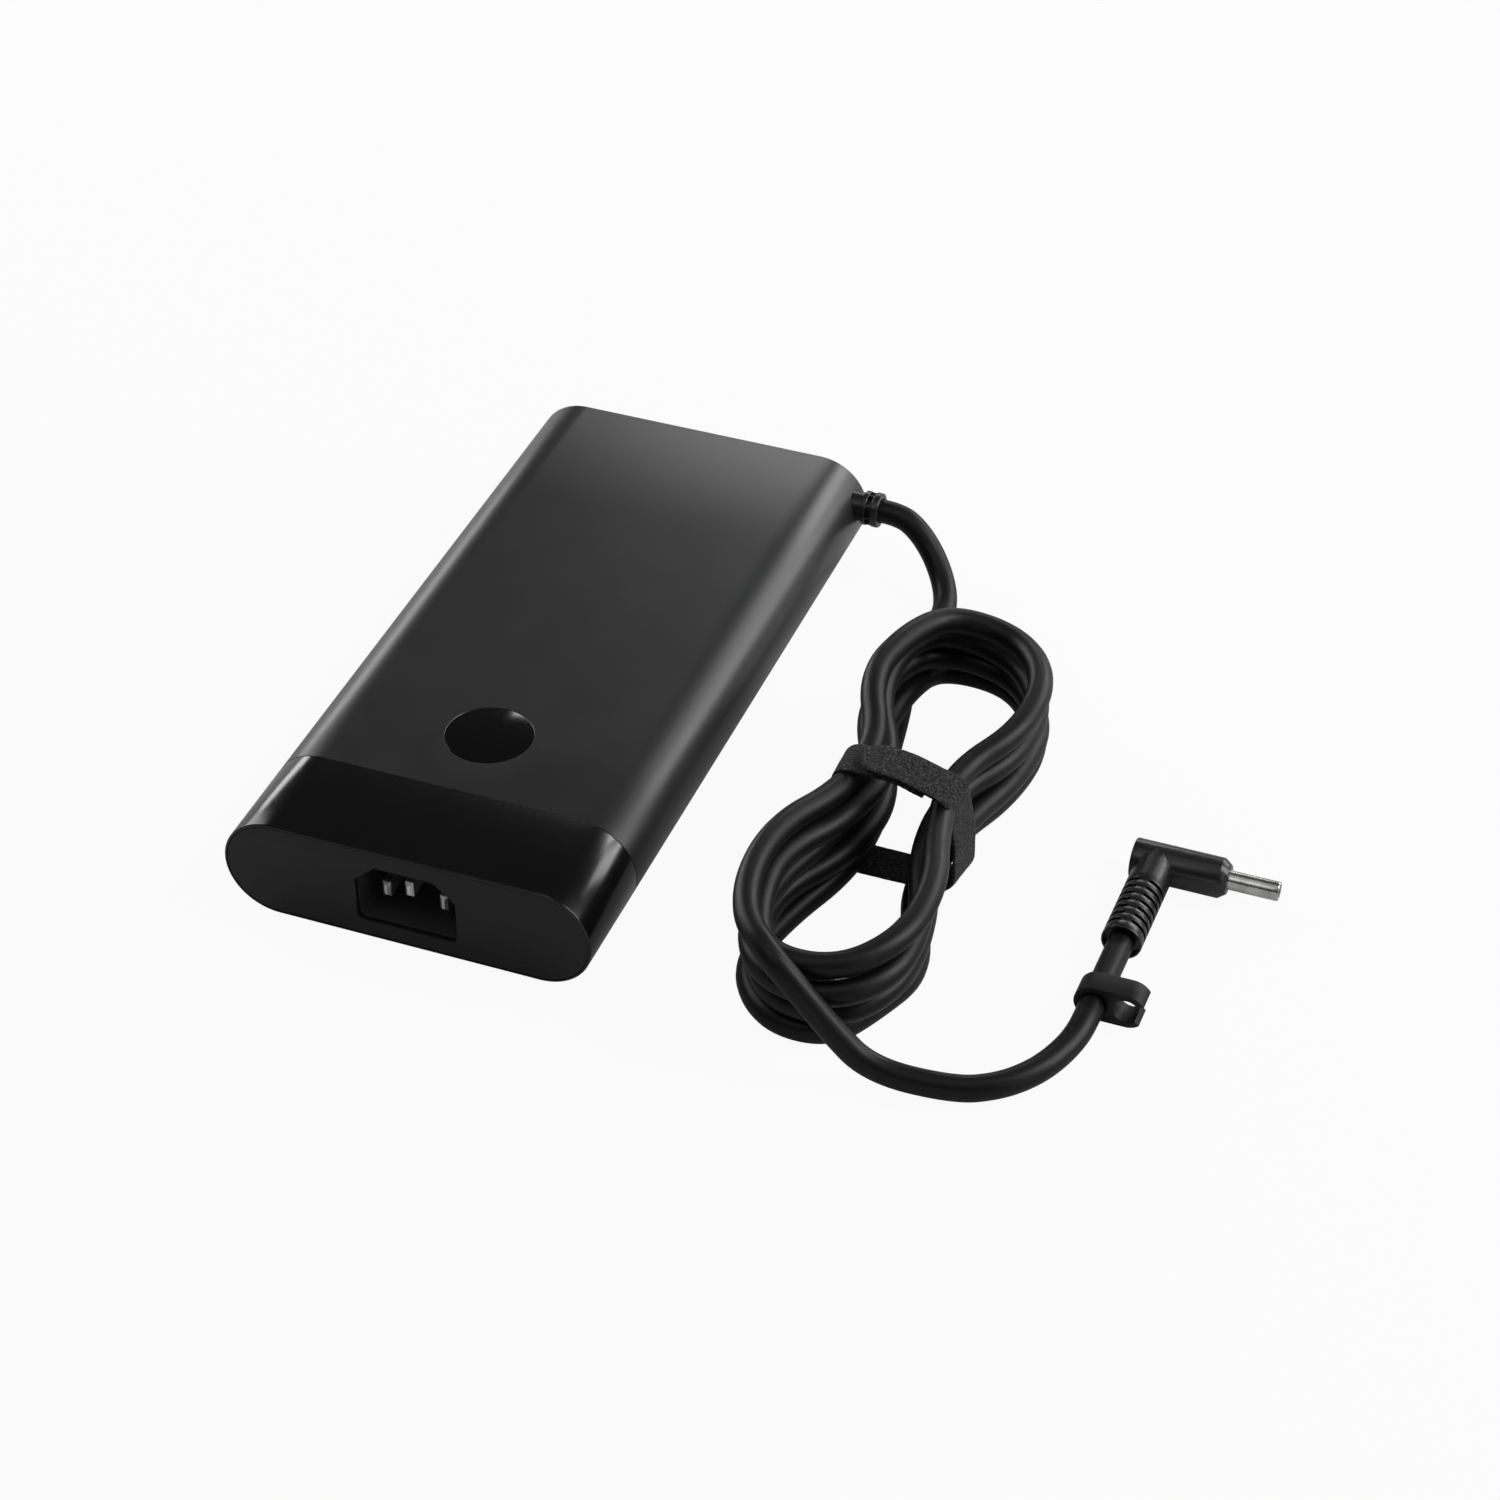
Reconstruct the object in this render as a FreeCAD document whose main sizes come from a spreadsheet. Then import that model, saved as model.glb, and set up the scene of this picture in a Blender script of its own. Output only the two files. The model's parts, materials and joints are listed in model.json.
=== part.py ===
import FreeCAD, Part
import math
import os
import Sketcher

# Laptop power adapter with its wound output cord, in millimetres.
# The origin is the middle of the housing's underside: +X to the cord's side, +Y to the rear, +Z up.

os.makedirs("parts", exist_ok=True)
doc = FreeCAD.newDocument("power_adapter")

# Driving dimensions

sizes = {
    # housing
    "housingWidth": 89.2,
    "housingHeight": 25.4,
    "housingLength": 181.0,
    "housingWall": 2.2,
    "bandLength": 26.2,
    "rimLip": 0.6,
    "frontPlateThickness": 1.6,
    "rearPlateThickness": 1.2,
    "seamGap": 0.05,
    "tongueLength": 4.0,
    "tongueThickness": 1.0,
    "railWidth": 2.0,
    "railOffset": 29.0,
    "railTop": 5.2,
    "inlayRadius": 10.25,
    "inlayThickness": 0.6,
    "inlayBack": 43.3,
    # mains inlet
    "inletWidth": 24.2,
    "inletFloor": 4.65,
    "inletCeiling": 20.5,
    "inletCornerWide": 5.1,
    "inletCornerTall": 4.6,
    "inletCornerRadius": 1.5,
    "inletDepth": 16.0,
    "inletShroudWall": 1.0,
    "inletFlangeGrow": 1.6,
    "inletFlangeThickness": 1.4,
    "inletBackWall": 1.6,
    "pinWide": 2.0,
    "pinTall": 4.0,
    "pinTip": 0.7,
    "pinPitch": 14.0,
    "livePinHeight": 10.8,
    "earthPinHeight": 14.8,
    "livePinDepth": 4.6,
    "earthPinDepth": 2.0,
    "pinTail": 5.5,
    # cord and its gland
    "cordRadius": 3.0,
    "glandAcross": 85.4,
    "glandHeight": 16.3,
    "glandRingRadius": 4.4,
    "glandWaistRadius": 4.05,
    "glandFace": 50.1,
    "glandNeckRadius": 3.3,
    "glandSlotRadius": 3.2,
    # plug
    "plugAxisHeight": 4.7,
    "plugRadius": 4.7,
    "plugAxisAcross": -8.6,
    "plugLeft": 144.0,
    "plugRight": 166.4,
    "plugNose": 1.7,
    "reliefAxis": 149.6,
    "reliefEnd": -39.7,
    "reliefRingWall": 0.5,
    "reliefRecess": 3.2,
    "reliefSlotDepth": 1.2,
    "reliefSlotWidth": 0.8,
    "reliefSlotPitch": 2.38,
    "reliefFirstSlot": -23.0,
    "reliefSpine": 1.5,
    "barrelRadius": 2.25,
    "barrelShank": 2.0,
    "barrelBore": 1.5,
    "barrelTip": 178.1,
    "contactRadius": 0.45,
    # clip
    "clipFront": -59.5,
    "clipLength": 5.8,
    "clipRadius": 4.5,
    "clipHookCentre": 157.0,
    "clipHookRadius": 3.0,
    "clipBoreGap": 0.08,
    # strap
    "strapWidth": 10.0,
    "strapThickness": 0.85,
    # circuit board and what lies round it
    "boardWidth": 74.0,
    "boardThickness": 1.6,
    "boardFront": -57.5,
    "boardRear": 80.0,
    "spreaderThickness": 1.0,
    "spreaderWidth": 54.0,
    "linerThickness": 0.4,
    "padThickness": 1.0,
}

sheet = doc.addObject("Spreadsheet::Sheet", "dimensions")
for row, (alias, number) in enumerate(sizes.items(), start=1):
    sheet.set("A%d" % row, alias)
    sheet.set("B%d" % row, str(number))
    sheet.setAlias("B%d" % row, alias)
doc.recompute()


class Size:
    # A length kept twice: as a number, for a first drawing, and as the sheet's formula, which drives it.
    def __init__(self, number, formula):
        self.number = number
        self.formula = formula

    @staticmethod
    def of(value):
        return value if isinstance(value, Size) else Size(float(value), repr(float(value)))

    def join(self, sign, other, number):
        return Size(number, "(%s %s %s)" % (self.formula, sign, other.formula))

    def __add__(self, other):
        other = Size.of(other)
        return self.join("+", other, self.number + other.number)

    def __sub__(self, other):
        other = Size.of(other)
        return self.join("-", other, self.number - other.number)

    def __mul__(self, other):
        other = Size.of(other)
        return self.join("*", other, self.number * other.number)

    def __truediv__(self, other):
        other = Size.of(other)
        return self.join("/", other, self.number / other.number)

    def __radd__(self, other):
        return Size.of(other) + self

    def __rsub__(self, other):
        return Size.of(other) - self

    def __rmul__(self, other):
        return Size.of(other) * self

    def __neg__(self):
        return Size.of(0) - self


def cell(alias):
    return Size(sizes[alias], "dimensions." + alias)


def bind(thing, prop, value):
    thing.setExpression(prop, Size.of(value).formula)


# Sketches and the features drawn from them

planeRoles = {"top": "XY_Plane", "front": "XZ_Plane", "side": "YZ_Plane"}


def newBody(label):
    body = doc.addObject("PartDesign::Body", label)
    body.Label = label
    return body


def newSketch(body, plane, offset=(0, 0, 0)):
    # top draws in X and Y, front in X and Z with its depth towards -Y, side in Y and Z towards +X
    sketch = body.newObject("Sketcher::SketchObject", body.Name + "_sketch")
    base = [f for f in body.Origin.OriginFeatures if f.Role == planeRoles[plane]][0]
    sketch.AttachmentSupport = [(base, "")]
    sketch.MapMode = "FlatFace"
    for axis, value in zip("xyz", offset):
        bind(sketch, "AttachmentOffset.Base.%s" % axis, value)
    return sketch


def hold(sketch, kind, where, value):
    # one driving distance from the sketch's own origin
    value = Size.of(value)
    index = sketch.addConstraint(Sketcher.Constraint(kind, -1, 1, where[0], where[1], value.number))
    bind(sketch, "Constraints[%d]" % index, value)


def drawLoop(sketch, start, steps):
    # A closed outline. A step (x, y) is a line there, (x, y, cx, cy, turn) an arc about cx, cy, anticlockwise for +1.
    points = [start] + [step[:2] for step in steps]
    points = [(Size.of(x), Size.of(y)) for x, y in points]
    ends = []
    for k, step in enumerate(steps):
        a = FreeCAD.Vector(points[k][0].number, points[k][1].number, 0)
        b = FreeCAD.Vector(points[k + 1][0].number, points[k + 1][1].number, 0)
        if len(step) == 2:
            line = sketch.addGeometry(Part.LineSegment(a, b))
            ends.append((line, 1, 2))
            continue
        cx, cy, turn = Size.of(step[2]), Size.of(step[3]), step[4]
        centre = FreeCAD.Vector(cx.number, cy.number, 0)
        first, last = (a, b) if turn > 0 else (b, a)
        fromAngle = math.atan2(first.y - centre.y, first.x - centre.x)
        toAngle = math.atan2(last.y - centre.y, last.x - centre.x)
        if toAngle <= fromAngle:
            toAngle += 2 * math.pi
        circle = Part.Circle(centre, FreeCAD.Vector(0, 0, 1), (a - centre).Length)
        arc = sketch.addGeometry(Part.ArcOfCircle(circle, fromAngle, toAngle))
        ends.append((arc, 1, 2) if turn > 0 else (arc, 2, 1))
        chord = b - a
        if abs(chord.y) > abs(chord.x):
            hold(sketch, "DistanceX", (arc, 3), cx)
        else:
            hold(sketch, "DistanceY", (arc, 3), cy)
    for k in range(len(ends)):
        after = ends[(k + 1) % len(ends)]
        sketch.addConstraint(Sketcher.Constraint("Coincident", ends[k][0], ends[k][2], after[0], after[1]))
        hold(sketch, "DistanceX", (ends[k][0], ends[k][1]), points[k][0])
        hold(sketch, "DistanceY", (ends[k][0], ends[k][1]), points[k][1])


def drawCircle(sketch, x, y, radius):
    x, y, radius = Size.of(x), Size.of(y), Size.of(radius)
    centre = FreeCAD.Vector(x.number, y.number, 0)
    ring = sketch.addGeometry(Part.Circle(centre, FreeCAD.Vector(0, 0, 1), radius.number))
    hold(sketch, "DistanceX", (ring, 3), x)
    hold(sketch, "DistanceY", (ring, 3), y)
    index = sketch.addConstraint(Sketcher.Constraint("Radius", ring, radius.number))
    bind(sketch, "Constraints[%d]" % index, radius)


def drawBox(sketch, x0, y0, x1, y1):
    drawLoop(sketch, (x0, y0), [(x1, y0), (x1, y1), (x0, y1), (x0, y0)])


def drawOval(sketch, inset):
    # the housing's cross-section, flat above and below with half-round sides, drawn in by inset
    middle = cell("housingHeight") / 2
    straight = cell("housingWidth") / 2 - middle
    low = inset
    high = cell("housingHeight") - inset
    drawLoop(sketch, (-straight, low), [
        (straight, low), (straight, high, straight, middle, 1),
        (-straight, high), (-straight, low, -straight, middle, 1)])


def settle(feature, body):
    doc.recompute()
    if not feature.Shape.isValid() or "Invalid" in feature.State or "Error" in feature.State:
        raise RuntimeError("%s in %s failed" % (feature.Name, body.Label))
    return feature


def pad(body, sketch, length, backwards=False):
    feature = body.newObject("PartDesign::Pad", body.Name + "_pad")
    feature.Profile = sketch
    bind(feature, "Length", length)
    feature.Reversed = backwards
    return settle(feature, body)


def revolve(body, sketch, axis="H_Axis"):
    feature = body.newObject("PartDesign::Revolution", body.Name + "_revolution")
    feature.Profile = sketch
    feature.ReferenceAxis = (sketch, [axis])
    feature.Angle = 360
    return settle(feature, body)


def pocket(body, sketch, length=None, backwards=False, bothWays=False):
    # Cuts against the sketch's depth direction, along it when backwards, and has to take something away.
    before = body.Shape.Volume
    feature = body.newObject("PartDesign::Pocket", body.Name + "_pocket")
    feature.Profile = sketch
    if length is None:
        feature.Type = "ThroughAll"
    else:
        bind(feature, "Length", length)
    feature.Midplane = bothWays
    feature.Reversed = backwards
    settle(feature, body)
    if body.Shape.Volume > before - 0.01:
        raise RuntimeError("a pocket of %s cuts nothing" % body.Label)
    return feature


def edgesWhere(shape, wanted):
    return ["Edge%d" % k for k, edge in enumerate(shape.Edges, start=1) if wanted(edge)]


def soften(body, kind, size, wanted):
    # a fillet or chamfer on the edges that the test picks
    last = body.Tip
    feature = body.newObject("PartDesign::" + kind, body.Name + "_" + kind.lower())
    feature.Base = (last, edgesWhere(last.Shape, wanted))
    bind(feature, "Radius" if kind == "Fillet" else "Size", size)
    return settle(feature, body)


# Plain solids, for the pieces sealed inside

def place(thing, x, y, z):
    for axis, value in zip("xyz", (x, y, z)):
        bind(thing, "Placement.Base.%s" % axis, value)


def box(label, x0, y0, z0, wide, deep, tall):
    thing = doc.addObject("Part::Box", label)
    bind(thing, "Length", wide)
    bind(thing, "Width", deep)
    bind(thing, "Height", tall)
    place(thing, x0, y0, z0)
    return thing


axisTurns = {
    "x": FreeCAD.Rotation(FreeCAD.Vector(0, 1, 0), 90),
    "y": FreeCAD.Rotation(FreeCAD.Vector(1, 0, 0), -90),
    "z": FreeCAD.Rotation(),
}


def cylinder(label, x, y, z, radius, length, axis="z"):
    thing = doc.addObject("Part::Cylinder", label)
    bind(thing, "Radius", radius)
    bind(thing, "Height", length)
    thing.Placement = FreeCAD.Placement(FreeCAD.Vector(), axisTurns[axis])
    place(thing, x, y, z)
    return thing


def combine(kind, label, shapes):
    thing = doc.addObject("Part::" + kind, label)
    if kind == "Compound":
        thing.Links = shapes
    elif kind == "MultiFuse":
        thing.Shapes = shapes
    else:
        thing.Base, thing.Tool = shapes
    return thing


nodes = []


def keep(thing, label):
    thing.Label = label
    nodes.append(thing)
    return thing


# Housing

height = cell("housingHeight")
front = -cell("housingLength") / 2
rear = cell("housingLength") / 2
seam = front + cell("bandLength")
wall = cell("housingWall")
gap = cell("seamGap")
lip = cell("rimLip")


def mainSleeve():
    body = newBody("main_sleeve")
    tube = newSketch(body, "front", (0, 0, -rear))
    drawOval(tube, 0)
    drawOval(tube, wall)
    pad(body, tube, rear - seam)
    rails = newSketch(body, "front", (0, 0, -(rear - 2)))
    halfRail = cell("railWidth") / 2
    for middle in (-cell("railOffset"), cell("railOffset")):
        drawBox(rails, middle - halfRail, wall / 2, middle + halfRail, cell("railTop"))
    pad(body, rails, rear - 2 - seam - cell("tongueLength") - 0.2)
    rebate = newSketch(body, "front", (0, 0, -rear))
    drawOval(rebate, lip)
    pocket(body, rebate, cell("rearPlateThickness"), backwards=True)
    seat = newSketch(body, "top", (0, 0, height))
    drawCircle(seat, 0, -cell("inlayBack"), cell("inlayRadius") + gap)
    pocket(body, seat, cell("inlayThickness"))
    outlet = newSketch(body, "side", (cell("glandAcross"), cell("glandHeight"), cell("housingWidth") / 2 + 2))
    drawCircle(outlet, 0, 0, cell("glandNeckRadius") + gap)
    pocket(body, outlet, 10)
    return keep(body, "main_sleeve")


def glossFrontBand():
    body = newBody("gloss_front_band")
    tube = newSketch(body, "front", (0, 0, -seam))
    drawOval(tube, 0)
    drawOval(tube, wall)
    pad(body, tube, cell("bandLength"))
    tongueOut = wall + 2 * gap
    tongueIn = tongueOut + cell("tongueThickness")
    shoulder = newSketch(body, "front", (0, 0, -seam))
    drawOval(shoulder, wall / 2)
    drawOval(shoulder, tongueIn)
    pad(body, shoulder, cell("tongueLength"))
    tongue = newSketch(body, "front", (0, 0, -(seam + cell("tongueLength"))))
    drawOval(tongue, tongueOut)
    drawOval(tongue, tongueIn)
    pad(body, tongue, cell("tongueLength") + 1)
    rebate = newSketch(body, "front", (0, 0, -front))
    drawOval(rebate, lip)
    pocket(body, rebate, cell("frontPlateThickness"))
    return keep(body, "gloss_front_band")


def inletOutline(sketch, grow):
    # the opening for the mains plug: square below, its two upper corners cut off
    half = cell("inletWidth") / 2 + grow
    low = cell("inletFloor") - grow
    high = cell("inletCeiling") + grow
    wide = cell("inletCornerWide")
    tall = cell("inletCornerTall")
    r = cell("inletCornerRadius")
    drawLoop(sketch, (-half + r, low), [
        (half - r, low), (half, low + r, half - r, low + r, 1),
        (half, high - tall), (half - wide, high), (-half + wide, high), (-half, high - tall),
        (-half, low + r), (-half + r, low, -half + r, low + r, 1)])


def frontEndPlate():
    body = newBody("front_end_plate")
    plate = newSketch(body, "front", (0, 0, -(front + cell("frontPlateThickness"))))
    drawOval(plate, lip + gap)
    pad(body, plate, cell("frontPlateThickness"))
    opening = newSketch(body, "front", (0, 0, -front))
    inletOutline(opening, 0)
    pocket(body, opening, 4)
    return keep(body, "front_end_plate")


def rearEndPlate():
    body = newBody("rear_end_plate")
    plate = newSketch(body, "front", (0, 0, -rear))
    drawOval(plate, lip + gap)
    pad(body, plate, cell("rearPlateThickness"))
    return keep(body, "rear_end_plate")


def topRoundInlay():
    body = newBody("top_round_inlay")
    disc = newSketch(body, "top", (0, 0, height - cell("inlayThickness")))
    drawCircle(disc, 0, -cell("inlayBack"), cell("inlayRadius"))
    pad(body, disc, cell("inlayThickness"))
    soften(body, "Chamfer", 0.15, lambda edge: edge.CenterOfMass.z > sizes["housingHeight"] - 0.01)
    return keep(body, "top_round_inlay")


mainSleeve()
glossFrontBand()
frontEndPlate()
rearEndPlate()
topRoundInlay()

# Mains inlet

plateBack = front + cell("frontPlateThickness")
inletBack = front + cell("inletDepth")
pins = {
    "inlet_line_pin": (-cell("pinPitch") / 2, cell("livePinHeight"), cell("livePinDepth")),
    "inlet_neutral_pin": (cell("pinPitch") / 2, cell("livePinHeight"), cell("livePinDepth")),
    "inlet_earth_pin": (Size.of(0), cell("earthPinHeight"), cell("earthPinDepth")),
}


def inletHousing():
    body = newBody("inlet_housing")
    flange = newSketch(body, "front", (0, 0, -(plateBack + cell("inletFlangeThickness"))))
    inletOutline(flange, cell("inletFlangeGrow"))
    pad(body, flange, cell("inletFlangeThickness"))
    shroud = newSketch(body, "front", (0, 0, -(inletBack + cell("inletBackWall"))))
    inletOutline(shroud, cell("inletShroudWall"))
    pad(body, shroud, inletBack + cell("inletBackWall") - plateBack)
    cavity = newSketch(body, "front", (0, 0, -plateBack))
    inletOutline(cavity, 0)
    pocket(body, cavity, inletBack - plateBack)
    slots = newSketch(body, "front", (0, 0, -inletBack))
    halfWide = cell("pinWide") / 2 + gap
    halfTall = cell("pinTall") / 2 + gap
    for x, z, depth in pins.values():
        drawBox(slots, x - halfWide, z - halfTall, x + halfWide, z + halfTall)
    pocket(body, slots, cell("inletBackWall") + 1)
    return keep(body, "inlet_housing")


def inletPin(label, x, z, depth):
    # a flat blade with its tip bevelled all round and a soldering tail behind the inlet
    body = newBody(label)
    tip = front + depth
    tail = inletBack + cell("inletBackWall") + cell("pinTail")
    blade = newSketch(body, "front", (0, 0, -tail))
    halfWide = cell("pinWide") / 2
    halfTall = cell("pinTall") / 2
    drawBox(blade, x - halfWide, z - halfTall, x + halfWide, z + halfTall)
    pad(body, blade, tail - tip)
    soften(body, "Chamfer", cell("pinTip"), lambda edge: edge.CenterOfMass.y < tip.number + 0.01)
    return keep(body, label)


inletHousing()
for pinLabel, (pinX, pinZ, pinDepth) in pins.items():
    inletPin(pinLabel, pinX, pinZ, pinDepth)

# Cord gland in the housing's right side


def cordGland():
    body = newBody("cord_gland")
    across = cell("glandAcross")
    axis = cell("glandHeight")
    face = cell("glandFace")
    ring = cell("glandRingRadius")
    waist = cell("glandWaistRadius")
    inside = cell("housingWidth") / 2 - 4
    collar = newSketch(body, "front", (0, axis, -across))
    drawLoop(collar, (inside, 0), [
        (face, 0), (face, ring - 0.2), (face - 0.2, ring), (face - 1.6, ring), (face - 1.8, waist),
        (face - 2.9, waist), (face - 3.1, ring), (inside, ring), (inside, 0)])
    revolve(body, collar)
    fitted = newSketch(body, "front", (0, 0, -(across - 8)))
    drawOval(fitted, -gap)
    pocket(body, fitted, 16)
    slots = newSketch(body, "side", (across, axis, face - 1.7))
    deep = cell("glandSlotRadius")
    for side in (-1, 1):
        low, high = math.radians(-48), math.radians(48)
        outer = ring + 0.5
        drawLoop(slots, (side * deep * math.cos(low), deep * math.sin(low)), [
            (side * outer * math.cos(low), outer * math.sin(low)),
            (side * outer * math.cos(high), outer * math.sin(high)),
            (side * deep * math.cos(high), deep * math.sin(high)),
            (side * deep * math.cos(low), deep * math.sin(low), 0, 0, -side)])
    pocket(body, slots, 1.3)
    neck = newSketch(body, "front", (0, axis, -across))
    retainer = cell("glandNeckRadius") + 0.55
    neckInner = cell("housingWidth") / 2 - 6.6
    drawLoop(neck, (neckInner, 0), [
        (face - 4.0, 0), (face - 4.0, cell("glandNeckRadius")), (neckInner + 1.2, cell("glandNeckRadius")),
        (neckInner + 1.2, retainer), (neckInner, retainer), (neckInner, 0)])
    revolve(body, neck)
    return keep(body, "cord_gland")


cordGland()

# Output plug


def plugOvermould():
    # a barrel-shaped body with the strain relief growing out of its side, moulded as one
    body = newBody("plug_overmould")
    level = cell("plugAxisHeight")
    radius = cell("plugRadius")
    left = cell("plugLeft")
    right = cell("plugRight")
    nose = cell("plugNose")
    barrelFit = cell("barrelShank") + gap
    barrel = newSketch(body, "front", (0, level, -cell("plugAxisAcross")))
    drawLoop(barrel, (left, 0), [
        (right - 4, 0), (right - 4, barrelFit), (right, barrelFit), (right, radius - 1.3),
        (right - nose, radius), (left + 0.3, radius), (left, radius - 0.3, left + 0.3, radius - 0.3, 1),
        (left, 0)])
    revolve(body, barrel)
    stem = newSketch(body, "top", (cell("reliefAxis"), 0, level))
    end = cell("reliefEnd")
    recess = radius - cell("reliefRingWall")
    drawLoop(stem, (0, end + cell("reliefRecess")), [
        (recess, end + cell("reliefRecess")), (recess, end), (radius, end),
        (radius, cell("plugAxisAcross")), (0, cell("plugAxisAcross")), (0, end + cell("reliefRecess"))])
    revolve(body, stem, "V_Axis")
    slots = newSketch(body, "front", (cell("reliefAxis"), level, -cell("reliefFirstSlot")))
    spine = cell("reliefSpine") / 2
    deep = (radius - cell("reliefSlotDepth")).number
    reach = radius.number + 0.4
    for side in (-1, 1):
        low = -math.radians(52)
        x0 = spine.number
        drawLoop(slots, (side * x0, math.sqrt(reach ** 2 - x0 ** 2)), [
            (side * x0, math.sqrt(deep ** 2 - x0 ** 2)),
            (side * deep * math.cos(low), deep * math.sin(low), 0, 0, -side),
            (side * reach * math.cos(low), reach * math.sin(low)),
            (side * x0, math.sqrt(reach ** 2 - x0 ** 2), 0, 0, side)])
    cut = pocket(body, slots, cell("reliefSlotWidth"), backwards=True)
    rows = body.newObject("PartDesign::LinearPattern", "slot_rows")
    rows.Originals = [cut]
    rows.Direction = (slots, ["N_Axis"])
    rows.Occurrences = 7
    bind(rows, "Length", 6 * cell("reliefSlotPitch"))
    body.Tip = rows
    settle(rows, body)
    return keep(body, "plug_overmould")


def turned(label, level, across, steps, start):
    # a turned piece on an axis along X
    body = newBody(label)
    sketch = newSketch(body, "front", (0, level, -across))
    drawLoop(sketch, start, steps)
    revolve(body, sketch)
    return keep(body, label)


def plugMetal():
    level = cell("plugAxisHeight")
    across = cell("plugAxisAcross")
    root = cell("plugRight") - 4
    tip = cell("barrelTip")
    outer = cell("barrelRadius")
    bore = cell("barrelBore")
    shank = cell("barrelShank")
    turned("plug_barrel", level, across, [
        (cell("plugRight"), shank), (cell("plugRight"), outer), (tip - 0.6, outer), (tip, outer - 0.25),
        (tip, bore),
        (root, bore), (root, shank)], (root, shank))
    collar = tip - 3.2
    turned("plug_insulator", level, across, [
        (collar, bore - gap), (collar, cell("contactRadius") + gap), (root + 1, cell("contactRadius") + gap),
        (root + 1, 0), (root, 0), (root, bore - gap)], (root, bore - gap))
    contact = cell("contactRadius")
    turned("plug_centre_contact", level, across, [
        (tip - 1.6, contact), (tip - 1.2, 0), (root + 1, 0), (root + 1, contact)], (root + 1, contact))


plugOvermould()
plugMetal()

# Rubber clip that slides on the cord


def cordClip():
    body = newBody("cord_clip")
    level = cell("plugAxisHeight")
    left = cell("reliefAxis")
    hook = cell("clipHookCentre")
    r = cell("clipRadius")
    hole = cell("clipHookRadius")
    rear = cell("clipFront") + cell("clipLength")
    outline = newSketch(body, "front", (0, level, -rear))
    jawLow = (hook.number + math.sqrt(r.number ** 2 - 3.25 ** 2), -3.25)
    lipLow = (hook.number + math.sqrt(hole.number ** 2 - 2.15 ** 2), -2.15)
    lipHigh = (hook.number + math.sqrt(hole.number ** 2 - 2.25 ** 2), 2.25)
    jawHigh = (hook.number + math.sqrt(r.number ** 2 - 2.25 ** 2), 2.25)
    drawLoop(outline, (left, -r), [
        (hook, -r), jawLow + (hook, 0, 1), lipLow, lipHigh + (hook, 0, -1), jawHigh, (hook, r, hook, 0, 1),
        (left, r), (left, -r, left, 0, 1)])
    drawCircle(outline, left, 0, cell("cordRadius") + cell("clipBoreGap"))
    pad(body, outline, cell("clipLength"))
    return keep(body, "cord_clip")


cordClip()

# Output cord: free stretches of straight runs joined by tangent arcs, and the wound hank between them

fromGlandRoute = [
    (50.1, 85.4, 16.3), (55.4, 85.4, 16.3), (60.5, 84.0, 13.8), (65.0, 81.7, 9.9), (68.7, 78.0, 6.5),
    (71.6, 73.1, 4.2), (73.2, 67.4, 3.1), (73.2, 60.5, 3.0), (73.2, 53.5, 3.0),
]
toPlugRoute = [
    (120.5, -94.25, 3.0), (129.6, -94.17, 3.0), (138.0, -89.6, 3.0), (143.6, -83.2, 3.0), (146.9, -76.2, 3.0),
    (149.0, -69.2, 3.5), (149.6, -62.5, 4.7), (149.6, -36.5, 4.7),
]

# Stations of the hank, turn by turn from the floor up: x, y, z, heading in degrees, climb where it is steep.
leftWaist = [(82.7, -26, 4.2, 272), (85.8, -26, 9.9, 272), (82.0, -26, 15.35, 269.5), (87.8, -26, 20.4, 265),
             (82.7, -26, 25.15, 262.5)]
frontLeft = [(74.6, -66.8, 3.0, 261.5), (76.4, -69.3, 9.7, 268.5), (74.8, -69.5, 15.9, 274),
             (75.2, -67.3, 22.7, 272)]
frontBend = [(93.9, -87.8, 3.0, 0.5), (94.3, -90.2, 9.6, 0), (94.5, -90.1, 16.5, 1.5), (91.8, -88.8, 22.9, 1)]
frontRight = [(106.5, -71.7, 3.0, 69), (109.5, -66.6, 9.8, 91.5), (110.5, -70.3, 17.0, 92), (111.2, -65.3, 23.5, 88)]
rightWaist = [(101.4, -26, 4.2, 83), (104.7, -26, 9.8, 84.5), (101.7, -26, 15.6, 89), (102.5, -26, 22.0, 89)]
rearRight = [(110.5, 15.7, 3.0, 87), (112.1, 13.9, 9.8, 90.5), (112.0, 11.8, 16.8, 89), (112.7, 13.8, 24.6, 91.5)]
rearBend = [(89.5, 44.0, 4.3, 181, 0.08), (89.5, 42.6, 11.2, 180, 0.13), (90.0, 39.2, 17.2, 180, 0.12),
            (91.6, 37.6, 24.7, 182, 0.14)]
rearLeft = [(77.3, 16.8, 9.9, 270), (74.0, 16.6, 16.2, 272), (78.1, 15.6, 22.2, 270.5), (76.9, 14.7, 28.8, 261)]
leadIn = [(73.2, 47.5, 3.0, 270, 0), (74.5, 30.7, 3.0, -77.5, 0), (80.0, -2.1, 3.3, -83, 0.03)]
leadOut = [(74.2, -63.8, 29.1, 268.5, 0.02), (82.0, -88.8, 29.1, -48, -0.06), (98.0, -95.9, 21.3, -9.5, -0.95),
           (114.5, -94.3, 3.0, 0.5, 0)]

cordRadius = sizes["cordRadius"]


def unit(vector):
    return vector * (1.0 / vector.Length)


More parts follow.
